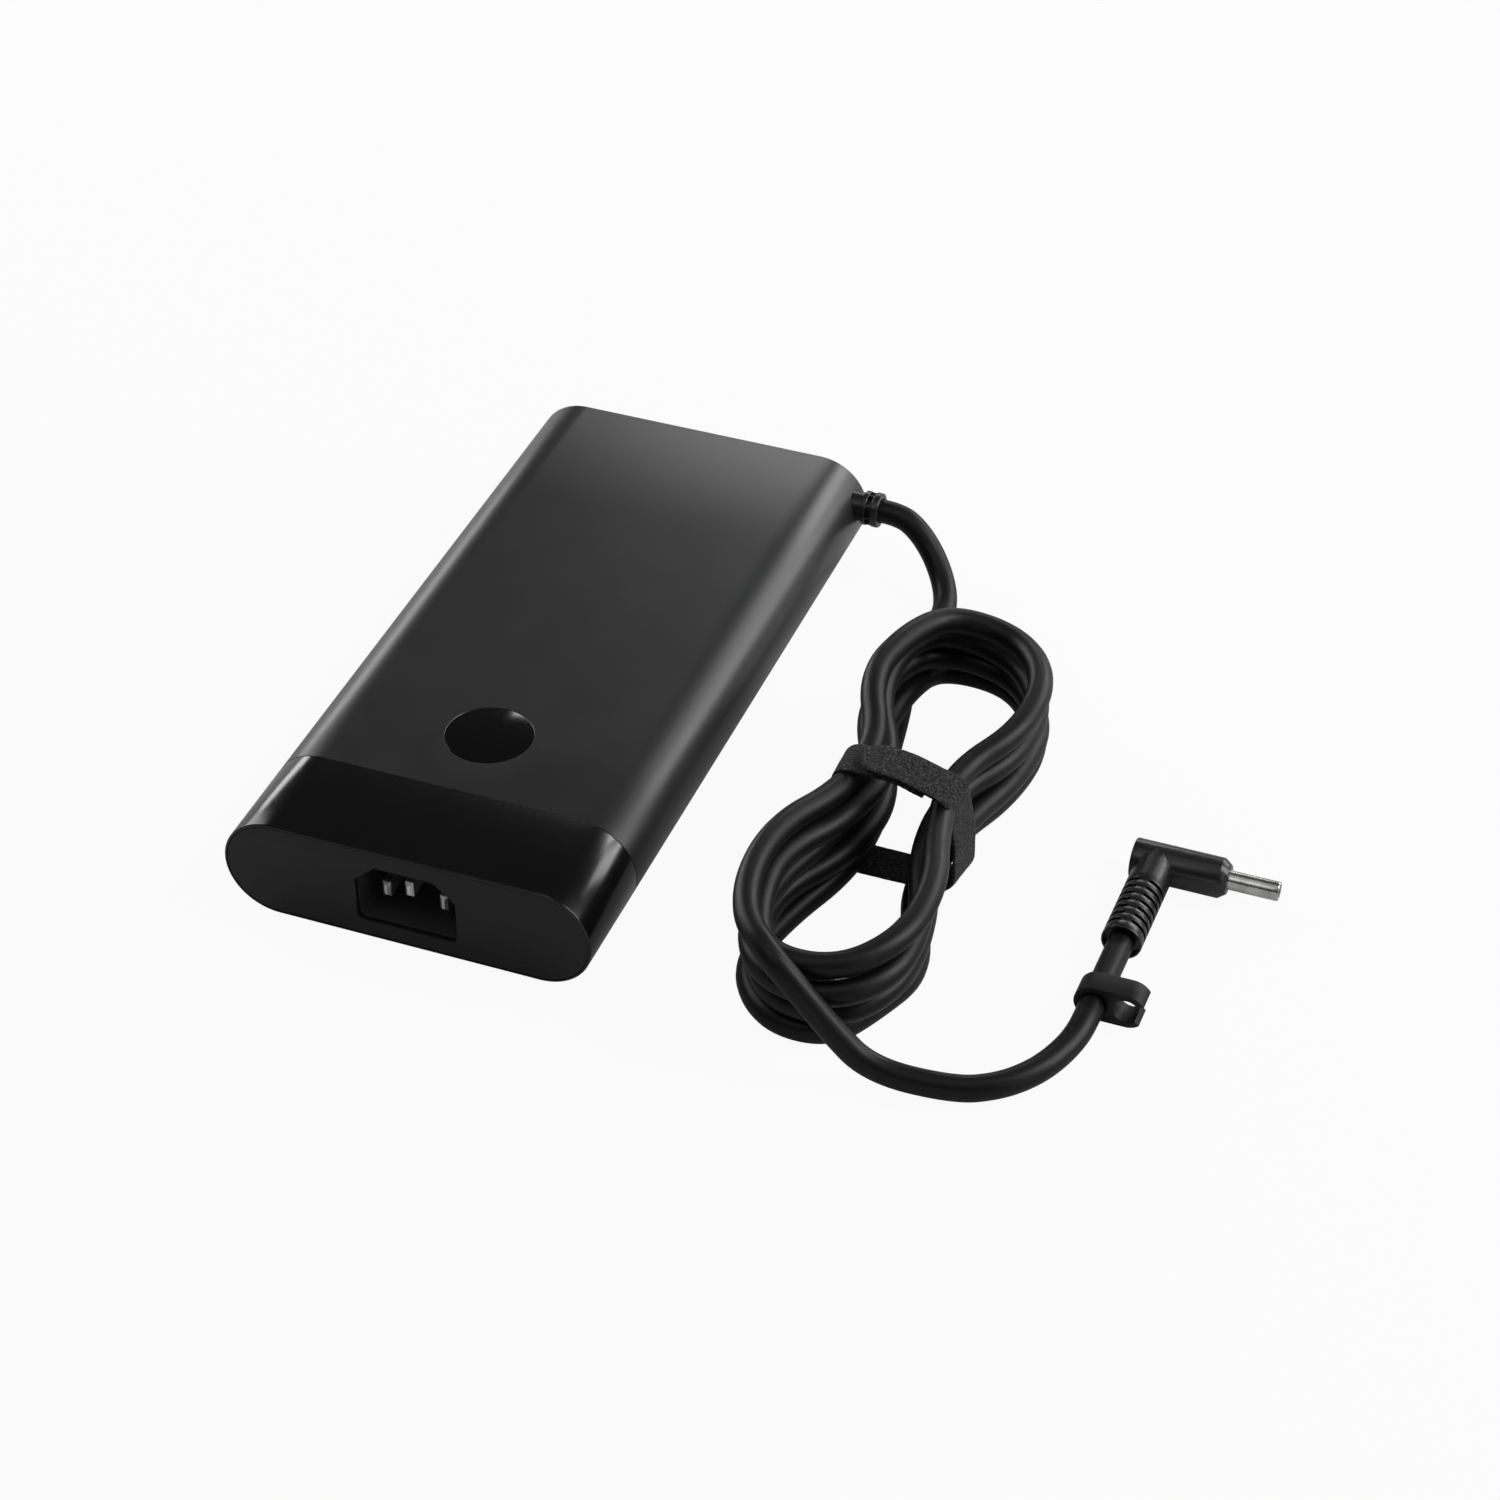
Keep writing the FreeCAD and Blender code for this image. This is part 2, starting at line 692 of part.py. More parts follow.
def routeWire(name, points):
    points = [FreeCAD.Vector(*p) for p in points]
    edges = []
    radii = []
    last = points[0]
    for before, corner, after in zip(points, points[1:], points[2:]):
        back = unit(before - corner)
        ahead = unit(after - corner)
        run = 0.45 * min((before - corner).Length, (after - corner).Length)
        turn = math.pi - back.getAngle(ahead)
        radii.append(run / math.tan(turn / 2))
        start = corner + back * run
        end = corner + ahead * run
        middle = corner + unit(back + ahead) * (radii[-1] / math.cos(turn / 2) - radii[-1])
        edges.append(Part.LineSegment(last, start).toShape())
        edges.append(Part.Arc(start, middle, end).toShape())
        last = end
    edges.append(Part.LineSegment(last, points[-1]).toShape())
    print(name, "radii", [round(r, 1) for r in radii])
    return Part.Wire(edges)


def hankStations():
    stations = list(leadIn)
    for k in range(len(frontLeft)):
        stations += [leftWaist[k], frontLeft[k], frontBend[k], frontRight[k], rightWaist[k]]
        stations += [rearRight[k], rearBend[k], rearLeft[k]]
    stations.append(leftWaist[-1])
    return stations + leadOut


def climb(stations, k):
    # how steeply the cord rises through a station: the harmonic mean of the slopes to its two neighbours
    if len(stations[k]) > 4:
        return stations[k][4]
    slopes = []
    for a, b in ((k - 1, k), (k, k + 1)):
        run = math.hypot(stations[b][0] - stations[a][0], stations[b][1] - stations[a][1])
        slopes.append((stations[b][2] - stations[a][2]) / run)
    if slopes[0] * slopes[1] <= 0:
        return 0.0
    return 2 * slopes[0] * slopes[1] / (slopes[0] + slopes[1])


def arcFrom(start, heading, end):
    # the arc that leaves start along heading and ends at end
    ahead = end - start
    side = ahead - heading * ahead.dot(heading)
    radius = ahead.dot(ahead) / (2 * side.Length)
    half = math.atan2(side.Length, ahead.dot(heading))
    middle = start + heading * (radius * math.sin(half)) + unit(side) * (radius * (1 - math.cos(half)))
    return Part.Arc(start, middle, end).toShape(), radius


def hankWire():
    stations = hankStations()
    places = [FreeCAD.Vector(*s[:3]) for s in stations]
    headings = []
    for k, s in enumerate(stations):
        angle = math.radians(s[3])
        headings.append(unit(FreeCAD.Vector(math.cos(angle), math.sin(angle), climb(stations, k))))
    stub = 2 * cordRadius
    edges = [Part.LineSegment(places[0] - headings[0] * stub, places[0]).toShape()]
    radii = []
    for p0, t0, p1, t1 in zip(places, headings, places[1:], headings[1:]):
        v = p1 - p0
        t = t0 + t1
        c = 1 - t0.dot(t1)
        if c > 1e-9:
            reach = (math.sqrt(v.dot(t) ** 2 + 2 * c * v.dot(v)) - v.dot(t)) / (2 * c)
        else:
            reach = v.dot(v) / (4 * v.dot(t1))
        joint = (p0 + p1) * 0.5 + (t0 - t1) * (reach / 2)
        chord = joint - p0
        through = unit(chord * (2 * chord.dot(t0) / chord.dot(chord)) - t0)
        for begin, heading, end in ((p0, t0, joint), (joint, through, p1)):
            arc, radius = arcFrom(begin, heading, end)
            edges.append(arc)
            radii.append(radius)
    edges.append(Part.LineSegment(places[-1], places[-1] + headings[-1] * stub).toShape())
    print("cord_hank tightest radii", [round(r, 1) for r in sorted(radii)[:6]])
    return Part.Wire(edges)


def leastGap(wire):
    # the least distance between points more than three diameters apart along the line, less one diameter
    step = 1.0
    points = wire.discretize(Distance=step)
    skip = int(6 * cordRadius / step)
    least = min((points[k] - q).Length for k in range(len(points)) for q in points[k + skip:])
    return least - 2 * cordRadius


def pipe(wire, radius):
    first = wire.OrderedEdges[0]
    ring = Part.Circle(first.valueAt(first.FirstParameter), first.tangentAt(first.FirstParameter), radius)
    return wire.makePipeShell([Part.Wire([ring.toShape()])], True, False)


def keepShape(label, shape):
    thing = doc.addObject("Part::Feature", label)
    thing.Shape = shape
    return keep(thing, label)


def tube(label, wire):
    solid = pipe(wire, cordRadius)
    expected = math.pi * cordRadius ** 2 * wire.Length
    print(label, "length %.1f, volume %.1f of %.1f" % (wire.Length, solid.Volume, expected))
    return keepShape(label, solid)


tube("cord_from_gland", routeWire("cord_from_gland", fromGlandRoute))
hankLine = hankWire()
print("cord_hank least gap to itself %.2f" % leastGap(hankLine))
tube("cord_hank", hankLine)
tube("cord_to_plug", routeWire("cord_to_plug", toPlugRoute))

# Fabric strap round the hank's waist

# The band's outer side, from its free end on the top round to its first end under the free one: x, z, radius.
strapStart = (84.2, 30.45)
strapCorners = [
    (94.0, 30.45, 20.0), (107.0, 26.2, 5.5), (109.3, 13.5, 20.0), (109.3, 0.0, 5.0), (77.4, 0.0, 4.0),
    (77.4, 29.5, 4.5), (93.82, 29.5, 19.0),
]
strapEnd = (100.8, 26.85)
strapLean = 0.8


def spiralSide(inward, lean):
    # straight runs joined by arcs in the XZ plane, moved in by a distance about the arcs' own centres
    left = min(corner[0] for corner in strapCorners)
    right = max(corner[0] for corner in strapCorners)
    points = []
    for x, z, *radius in [strapStart] + strapCorners + [strapEnd]:
        points.append(FreeCAD.Vector(x + lean * (x - left) / (right - left), 0, z))
    edges = []
    last = None
    for before, corner, after, values in zip(points, points[1:], points[2:], strapCorners):
        back = unit(before - corner)
        ahead = unit(after - corner)
        half = back.getAngle(ahead) / 2
        r = values[2]
        centre = corner + unit(back + ahead) * (r / math.sin(half))
        entry = corner + back * (r / math.tan(half))
        leave = corner + ahead * (r / math.tan(half))
        ways = [unit(entry - centre), unit(corner - centre), unit(leave - centre)]
        first, middle, final = [centre + way * (r - inward) for way in ways]
        if last is None:
            last = before - ways[0] * inward
        edges.append(Part.LineSegment(last, first).toShape())
        edges.append(Part.Arc(first, middle, final).toShape())
        last = final
    edges.append(Part.LineSegment(last, after - ways[2] * inward).toShape())
    return edges


def strapOutline(y, lean):
    outer = spiralSide(0.0, lean)
    inner = spiralSide(sizes["strapThickness"], lean)
    starts = [side[0].Vertexes[0].Point for side in (inner, outer)]
    ends = [side[-1].Vertexes[-1].Point for side in (outer, inner)]
    loop = outer + [Part.LineSegment(*ends).toShape()] + inner[::-1] + [Part.LineSegment(*starts).toShape()]
    wire = Part.Wire(loop)
    wire.translate(FreeCAD.Vector(0, y, 0))
    return wire


def hankStrap():
    # One band laid round the waist, whose free end lies over the top of the hank and ends in a half round.
    half = sizes["strapWidth"] / 2
    middle = -26.0
    band = Part.makeLoft([strapOutline(middle - half, -strapLean), strapOutline(middle + half, strapLean)], True, True)
    tipLeft = strapStart[0] - strapLean
    tip = Part.makeBox(half, 2 * half, 3, FreeCAD.Vector(tipLeft, middle - half, 29.55))
    disc = Part.makeCylinder(half, 3, FreeCAD.Vector(strapStart[0] + half, middle, 29.55))
    return keepShape("hank_strap", band.cut(tip.cut(disc)).Solids[0])


hankStrap()

# Circuit board and the pieces on it

boardTop = cell("railTop") + cell("boardThickness")
ceiling = height - wall - cell("spreaderThickness")
underPad = ceiling - cell("padThickness")


def onBoard(label, x, y, wide, deep, tall):
    return box(label, x - wide / 2, y - deep / 2, boardTop, wide, deep, tall)


def legs(label, x, y, pitch, tall):
    # two wire legs that stand a piece off the board
    return [cylinder(label + "_leg", x + side * pitch / 2, y, boardTop, 0.4, tall) for side in (-1, 1)]


def mainBoard():
    width = cell("boardWidth")
    keep(box("main_board", -width / 2, cell("boardFront"), cell("railTop"), width,
             cell("boardRear") - cell("boardFront"), cell("boardThickness")), "main_board")


def heatSpreaders():
    width = cell("spreaderWidth")
    length = cell("boardRear") - cell("boardFront")
    thick = cell("spreaderThickness")
    front = cell("boardFront")
    keep(box("lower_heat_spreader", -width / 2, front, wall, width, length, thick), "lower_heat_spreader")
    keep(box("insulating_liner", -width / 2, front, wall + thick, width, length, cell("linerThickness")),
         "insulating_liner")
    keep(box("upper_heat_spreader", -width / 2, front, ceiling, width, length, thick), "upper_heat_spreader")


def inputSide():
    keep(cylinder("mains_fuse", -29, -49, boardTop, 4.2, 8), "mains_fuse")
    disc = cylinder("thermistor_disc", -17, -51.5, boardTop + 7.5, 5.5, 4, "y")
    keep(combine("MultiFuse", "thermistor", [disc] + legs("thermistor", -17, -49.5, 5.0, 4)), "thermistor")
    keep(onBoard("x_capacitor", 0, -48, 17.5, 8.5, 13.5), "x_capacitor")
    ringX, ringY, ringLow = 25.0, -44.0, boardTop + 1.5
    core = combine("Cut", "choke_core", [
        cylinder("choke_ring", ringX, ringY, ringLow, 8.0, 8), cylinder("choke_hole", ringX, ringY, ringLow, 4.5, 8)])
    keep(core, "input_choke_core")
    shell = combine("Cut", "choke_shell", [
        cylinder("choke_shell_ring", ringX, ringY, ringLow - 1.5, 9.5, 11),
        cylinder("choke_shell_hole", ringX, ringY, ringLow - 1.5, 3.2, 11)])
    inner = combine("Cut", "choke_inner", [
        cylinder("choke_inner_ring", ringX, ringY, ringLow - gap, 8.0 + gap, 8 + 2 * gap),
        cylinder("choke_inner_hole", ringX, ringY, ringLow - gap, 4.5 - gap, 8 + 2 * gap)])
    sleeve = combine("Cut", "choke_sleeve", [shell, inner])
    parting = box("choke_parting", ringX - 10, ringY - 3, ringLow - 2, 20, 6, 12)
    keep(combine("Cut", "input_choke_windings", [sleeve, parting]), "input_choke_windings")
    discs = [cylinder("y_disc", x, -33, boardTop + 5.5, 4.0, 3.0, "y") for x in (-33, -24)]
    pairs = [combine("MultiFuse", "y_capacitor", [disc] + legs("y", x, -31.5, 4.0, 3))
             for disc, x in zip(discs, (-33, -24))]
    keep(combine("Compound", "y_capacitors", pairs), "y_capacitors")
    keep(onBoard("bridge_rectifier", -4, -34.5, 22, 4.2, 13.5), "bridge_rectifier")


def powerStage():
    inductorX, inductorY = 24.0, -17.0
    core = onBoard("boost_block", inductorX, inductorY, 22, 20, 13)
    window = box("boost_window", inductorX - 8, inductorY - 11, boardTop + 3, 16, 22, 7)
    post = box("boost_post", inductorX - 4, inductorY - 10, boardTop + 3, 8, 20, 7)
    frame = combine("Cut", "boost_frame", [core, window])
    keep(combine("MultiFuse", "boost_inductor_core", [frame, post]), "boost_inductor_core")
    turns = [box("boost_turns", inductorX + x, inductorY - 9, boardTop + 3.2, 3.4, 18, 6.6) for x in (-7.6, 4.2)]
    keep(combine("Compound", "boost_inductor_winding", turns), "boost_inductor_winding")
    cans = [cylinder("bulk_can", x, -27, boardTop + 7.3, 7.3, 36, "y") for x in (-21, -5)]
    keep(combine("Compound", "bulk_capacitors", cans), "bulk_capacitors")
    fin = box("primary_fin", -34.5, -26, boardTop, 1.6, 60, 11)
    foot = box("primary_foot", -34.5, 12, boardTop, 6, 20, 1.6)
    keep(combine("MultiFuse", "primary_heatsink", [fin, foot]), "primary_heatsink")
    cases = [box("transistor_case", -32.9, y, boardTop + 0.8, 3.6, 9.8, 9.2) for y in (-22, -8)]
    keep(combine("Compound", "power_transistors", cases), "power_transistors")


def transformer():
    middleX, middleY = 2.0, 30.0
    block = onBoard("core_block", middleX, middleY, 36, 28, 14.4)
    window = box("core_window", middleX - 14, middleY - 15, boardTop + 3.4, 28, 30, 7.6)
    post = cylinder("core_post", middleX, middleY, boardTop + 3.4, 6.5, 7.6)
    frame = combine("Cut", "core_frame", [block, window])
    keep(combine("MultiFuse", "transformer_core", [frame, post]), "transformer_core")
    spool = cylinder("spool", middleX, middleY, boardTop + 3.5, 13.5, 7.4)
    throat = cylinder("throat", middleX, middleY, boardTop + 4.3, 14, 5.8)
    neck = cylinder("neck", middleX, middleY, boardTop + 4.3, 7.4, 5.8)
    flanges = combine("Cut", "spool_flanges", [spool, throat])
    joined = combine("MultiFuse", "spool_joined", [flanges, neck])
    bore = cylinder("spool_bore", middleX, middleY, boardTop + 3, 6.6, 9)
    keep(combine("Cut", "transformer_bobbin", [joined, bore]), "transformer_bobbin")
    coil = cylinder("coil", middleX, middleY, boardTop + 4.4, 13.0, 5.6)
    coilBore = cylinder("coil_bore", middleX, middleY, boardTop + 4.4, 7.5, 5.6)
    keep(combine("Cut", "transformer_winding", [coil, coilBore]), "transformer_winding")


def outputSide():
    fin = box("secondary_fin", 33.2, 14, boardTop, 1.6, 50, 9)
    foot = box("secondary_foot", 29.2, 46, boardTop, 5.6, 18, 1.6)
    keep(combine("MultiFuse", "secondary_heatsink", [fin, foot]), "secondary_heatsink")
    cases = [box("rectifier_case", 29.6, y, boardTop + 0.8, 3.6, 9.8, 8.2) for y in (18, 31)]
    keep(combine("Compound", "output_rectifiers", cases), "output_rectifiers")
    cans = [cylinder("output_can", x, 56, boardTop, 5.0, 13) for x in (-12, 0, 12)]
    keep(combine("Compound", "output_capacitors", cans), "output_capacitors")
    keep(cylinder("output_choke", 14, 71, boardTop + 5, 5.0, 12, "x"), "output_choke")
    keep(onBoard("optocoupler", -24, 48, 6.5, 4.6, 3.5), "optocoupler")
    keep(onBoard("controller_board", -22, 25, 1.2, 26, 12), "controller_board")
    chips = [box("chip", -21.4, y, boardTop + 4, 1.5, 6, 4) for y in (15, 27)]
    keep(combine("Compound", "controller_chips", chips), "controller_chips")


def thermalPads():
    thick = cell("padThickness")
    pieces = [
        box("pad_transformer", -12, 20, boardTop + 14.4, 28, 20, ceiling - boardTop - 14.4),
        box("pad_bulk", -26, -25, boardTop + 14.6, 24, 32, ceiling - boardTop - 14.6),
        box("pad_boost", 16, -25, underPad - 1.4, 10, 16, thick + 1.4),
    ]
    keep(combine("Compound", "thermal_pads", pieces), "thermal_pads")


def insideLeads():
    # three leads from the inlet's pins to the board, and two from the cord's end to it
    live = sizes["livePinHeight"]
    ends = {-7.0: (-14.0, live), 7.0: (14.0, live), 0.0: (3.0, sizes["earthPinHeight"])}
    start = (inletBack + cell("inletBackWall") + cell("pinTail")).number
    top = boardTop.number
    leads = []
    for x, (landX, z) in ends.items():
        path = [(x, start, z), (x, start + 4.0, z), (landX, start + 11.5, top + 4.5), (landX, start + 11.5, top)]
        leads.append(lead(path, 0.9))
    keepShape("input_leads", Part.makeCompound(leads))
    inner = sizes["housingWidth"] / 2 - 6.6
    across = sizes["glandAcross"]
    level = sizes["glandHeight"]
    leads = []
    for side in (-1, 1):
        path = [(inner, across + 1.4 * side, level), (inner - 4, across + 1.4 * side, level),
                (inner - 8, across - 9 + 2.2 * side, top + 5), (inner - 8, across - 9 + 2.2 * side, top)]
        leads.append(lead(path, 0.9))
    keepShape("output_leads", Part.makeCompound(leads))


def lead(path, radius):
    return pipe(routeWire("lead", path), radius)


mainBoard()
heatSpreaders()
inputSide()
powerStage()
transformer()
outputSide()
thermalPads()
insideLeads()

# Checks, then one file for each piece

doc.recompute()
for thing in doc.Objects:
    if "Invalid" in thing.State or "Error" in thing.State:
        raise RuntimeError("%s did not compute: %s" % (thing.Label, thing.State))
for thing in nodes:
    if thing.Shape.isNull() or not thing.Shape.isValid():
        raise RuntimeError("%s has no valid shape" % thing.Label)
for thing in nodes:
    thing.Shape.exportStep("parts/%s.step" % thing.Label)
print("pieces", len(nodes))
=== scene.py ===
import json
import math
import random

import bmesh
import bpy
from mathutils import Matrix, Vector, noise

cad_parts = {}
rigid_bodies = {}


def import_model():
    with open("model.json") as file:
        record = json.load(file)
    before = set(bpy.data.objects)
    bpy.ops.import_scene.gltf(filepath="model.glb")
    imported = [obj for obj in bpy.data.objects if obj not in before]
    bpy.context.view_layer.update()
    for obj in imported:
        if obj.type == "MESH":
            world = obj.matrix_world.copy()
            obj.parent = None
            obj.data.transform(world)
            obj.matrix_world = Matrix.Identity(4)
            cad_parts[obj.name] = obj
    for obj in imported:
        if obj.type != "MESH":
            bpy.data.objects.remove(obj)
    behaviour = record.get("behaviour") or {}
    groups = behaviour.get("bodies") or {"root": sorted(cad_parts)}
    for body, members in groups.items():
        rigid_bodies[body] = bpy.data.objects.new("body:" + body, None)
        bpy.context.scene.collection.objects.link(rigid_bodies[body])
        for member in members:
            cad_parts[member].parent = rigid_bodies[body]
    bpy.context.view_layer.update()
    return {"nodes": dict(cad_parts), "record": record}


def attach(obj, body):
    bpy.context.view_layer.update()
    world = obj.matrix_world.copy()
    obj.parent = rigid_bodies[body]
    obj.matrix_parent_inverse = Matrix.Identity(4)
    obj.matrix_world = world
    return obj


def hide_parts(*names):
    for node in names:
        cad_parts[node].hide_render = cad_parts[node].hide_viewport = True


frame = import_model()
mm = 0.001

# Camera, at the photograph's viewing angle

cameraView = {
    "place": (0.294236, -0.649763, 0.554077),
    "right": (0.934726, 0.355370, 0.0),
    "up": (-0.220969, 0.581211, 0.783177),
    "lens": 89.846,
    "sensor": 36.0,
    "nearest": 0.01,
}


def placeCamera(look):
    lens = bpy.data.cameras.new("studioCamera")
    lens.lens = look["lens"]
    lens.sensor_width = look["sensor"]
    lens.clip_start = look["nearest"]
    camera = bpy.data.objects.new("studioCamera", lens)
    right = Vector(look["right"])
    up = Vector(look["up"])
    turn = Matrix((right, up, right.cross(up))).transposed().to_4x4()
    camera.matrix_world = Matrix.Translation(look["place"]) @ turn
    bpy.context.scene.collection.objects.link(camera)
    bpy.context.scene.camera = camera


placeCamera(cameraView)
print("camera placed")

# Output cord: one line from the gland through four turns of the hank to the plug, in millimetres

cordRoute = {
    "radius": 3.0,
    "length": 1522.2,
    "fromGland": [
        (50.1, 85.4, 16.3), (55.4, 85.4, 16.3), (60.5, 84.0, 13.8), (65.0, 81.7, 9.9), (68.7, 78.0, 6.5),
        (71.6, 73.1, 4.2), (73.2, 67.4, 3.1), (73.2, 60.5, 3.0),
    ],
    # stations of the hank: x, y, z, heading in degrees, and the climb where its neighbours don't give it
    "leadIn": [
        (73.2, 47.5, 3, 270, 0), (74.5, 30.75, 3.15, -77.5, -0.01), (80.9, -1.3, 3.36, -76.75, -0.06),
    ],
    "leftWaist": [
        (84, -26, 3.76, 267.62), (85.95, -26, 9.72, 263.56), (82.6, -26, 14.94, 259.81),
        (85.9, -26, 20.18, 261.25), (82.8, -26, 25.51, 261.56),
    ],
    "frontLeft": [
        (74.6, -64.75, 2.94, 260.88), (74.8, -65.35, 9.26, 277.56), (75.75, -72.4, 16.77, 275.25),
        (76.35, -66.5, 22.88, 275.13),
    ],
    "frontBend": [
        (92.3, -87.7, 3.09, -2), (94, -87.8, 9.6, 0.32), (94.1, -90.1, 16.5, 2.12),
        (91.7, -88.65, 22.71, 1.62),
    ],
    "frontRight": [
        (106.5, -71.7, 3, 69), (109.5, -66.6, 9.8, 91.5), (110.5, -70.3, 17, 92), (111.2, -65.3, 23.5, 88),
    ],
    "rightWaist": [
        (101.4, -26, 4.2, 83), (104.7, -26, 9.8, 84.5), (101.7, -26, 15.6, 92), (103.8, -26, 22, 98.5),
    ],
    "rearRight": [
        (110.5, 15.7, 3, 87), (112.1, 13.9, 9.8, 90.5), (112, 11.8, 16.8, 89), (112.7, 13.8, 24.6, 91.5),
    ],
    "rearBend": [
        (89.5, 44, 4.3, 181, 0.08), (90.1, 40.6, 11.04, 180.62, 0.13), (90.1, 40, 17.35, 178.12, 0.18),
        (92, 36.8, 25.26, 185.12, 0.2),
    ],
    "rearLeft": [
        (76.95, 16.75, 9.62, 269.06), (74.6, 15.45, 16.55, 268.56), (76.3, 15.75, 22.58, 273.62),
        (77, 14.9, 28.99, 260.38),
    ],
    "leadOut": [
        (74.2, -61.6, 28.73, 266.63, 0.03), (83.2, -89.9, 28.07, -45.88, -0.04),
        (97.3, -95.7, 18.41, -4.13, -1.09), (117.4, -95.4, 3.57, 7, -0.14),
    ],
    "toPlug": [
        (129.6, -94.17, 3.0), (138.0, -89.6, 3.0), (143.6, -83.2, 3.0), (146.9, -76.2, 3.0),
        (149.0, -69.2, 3.5), (149.6, -62.5, 4.7), (149.6, -36.5, 4.7),
    ],
    "stepsAlong": 10,
    "stepsRound": 8,
}


def hankStations(route):
    legs = (
        "leftWaist", "frontLeft", "frontBend", "frontRight",
        "rightWaist", "rearRight", "rearBend", "rearLeft",
    )
    stations = list(route["leadIn"])
    for turn in range(len(route["frontBend"])):
        stations += [route[leg][turn] for leg in legs]
    stations.append(route["leftWaist"][-1])
    return stations + route["leadOut"]


def climbAt(stations, k):
    # how steeply the cord rises: as given, or the harmonic mean of the slopes to the two neighbours
    if len(stations[k]) > 4:
        return stations[k][4]
    slopes = []
    for a, b in ((k - 1, k), (k, k + 1)):
        run = math.hypot(stations[b][0] - stations[a][0], stations[b][1] - stations[a][1])
        slopes.append((stations[b][2] - stations[a][2]) / run)
    if slopes[0] * slopes[1] <= 0:
        return 0.0
    return 2 * slopes[0] * slopes[1] / (slopes[0] + slopes[1])


def hankCorners(route):
    # two corners between each pair of stations, where the lines along their headings turn
    stations = hankStations(route)
    places = [Vector(station[:3]) for station in stations]
    headings = []
    for k, station in enumerate(stations):
        angle = math.radians(station[3])
        headings.append(Vector((math.cos(angle), math.sin(angle), climbAt(stations, k))).normalized())
    nearlyStraight = 1e-9
    corners = []
    for here, leaving, there, arriving in zip(places, headings, places[1:], headings[1:]):
        gap = there - here
        along = gap.dot(leaving + arriving)
        turn = 1 - leaving.dot(arriving)
        if turn > nearlyStraight:
            reach = (math.sqrt(along ** 2 + 2 * turn * gap.dot(gap)) - along) / (2 * turn)
        else:
            reach = gap.dot(gap) / (4 * gap.dot(arriving))
        corners += [here + leaving * reach, there - arriving * reach]
    return corners


def cordLine(name, points, look):
    line = bpy.data.curves.new(name, "CURVE")
    line.dimensions = "3D"
    spline = line.splines.new("NURBS")
    spline.points.add(len(points) - 1)
    for point, (x, y, z) in zip(spline.points, points):
        point.co = (x * mm, y * mm, z * mm, 1.0)
    spline.order_u = 3
    spline.use_endpoint_u = True
    spline.resolution_u = look["stepsAlong"]
    line.bevel_depth = look["radius"] * mm
    line.bevel_resolution = look["stepsRound"]
    line.use_fill_caps = True
    cord = bpy.data.objects.new(name, line)
    bpy.context.scene.collection.objects.link(cord)
    return cord


cordPoints = cordRoute["fromGland"] + hankCorners(cordRoute) + cordRoute["toPlug"]
outputCord = cordLine("outputCord", cordPoints, cordRoute)
print("cord laid with", len(cordPoints), "points")

# Finishes, one dictionary each, named as the record names its material slots; relief and edge in millimetres

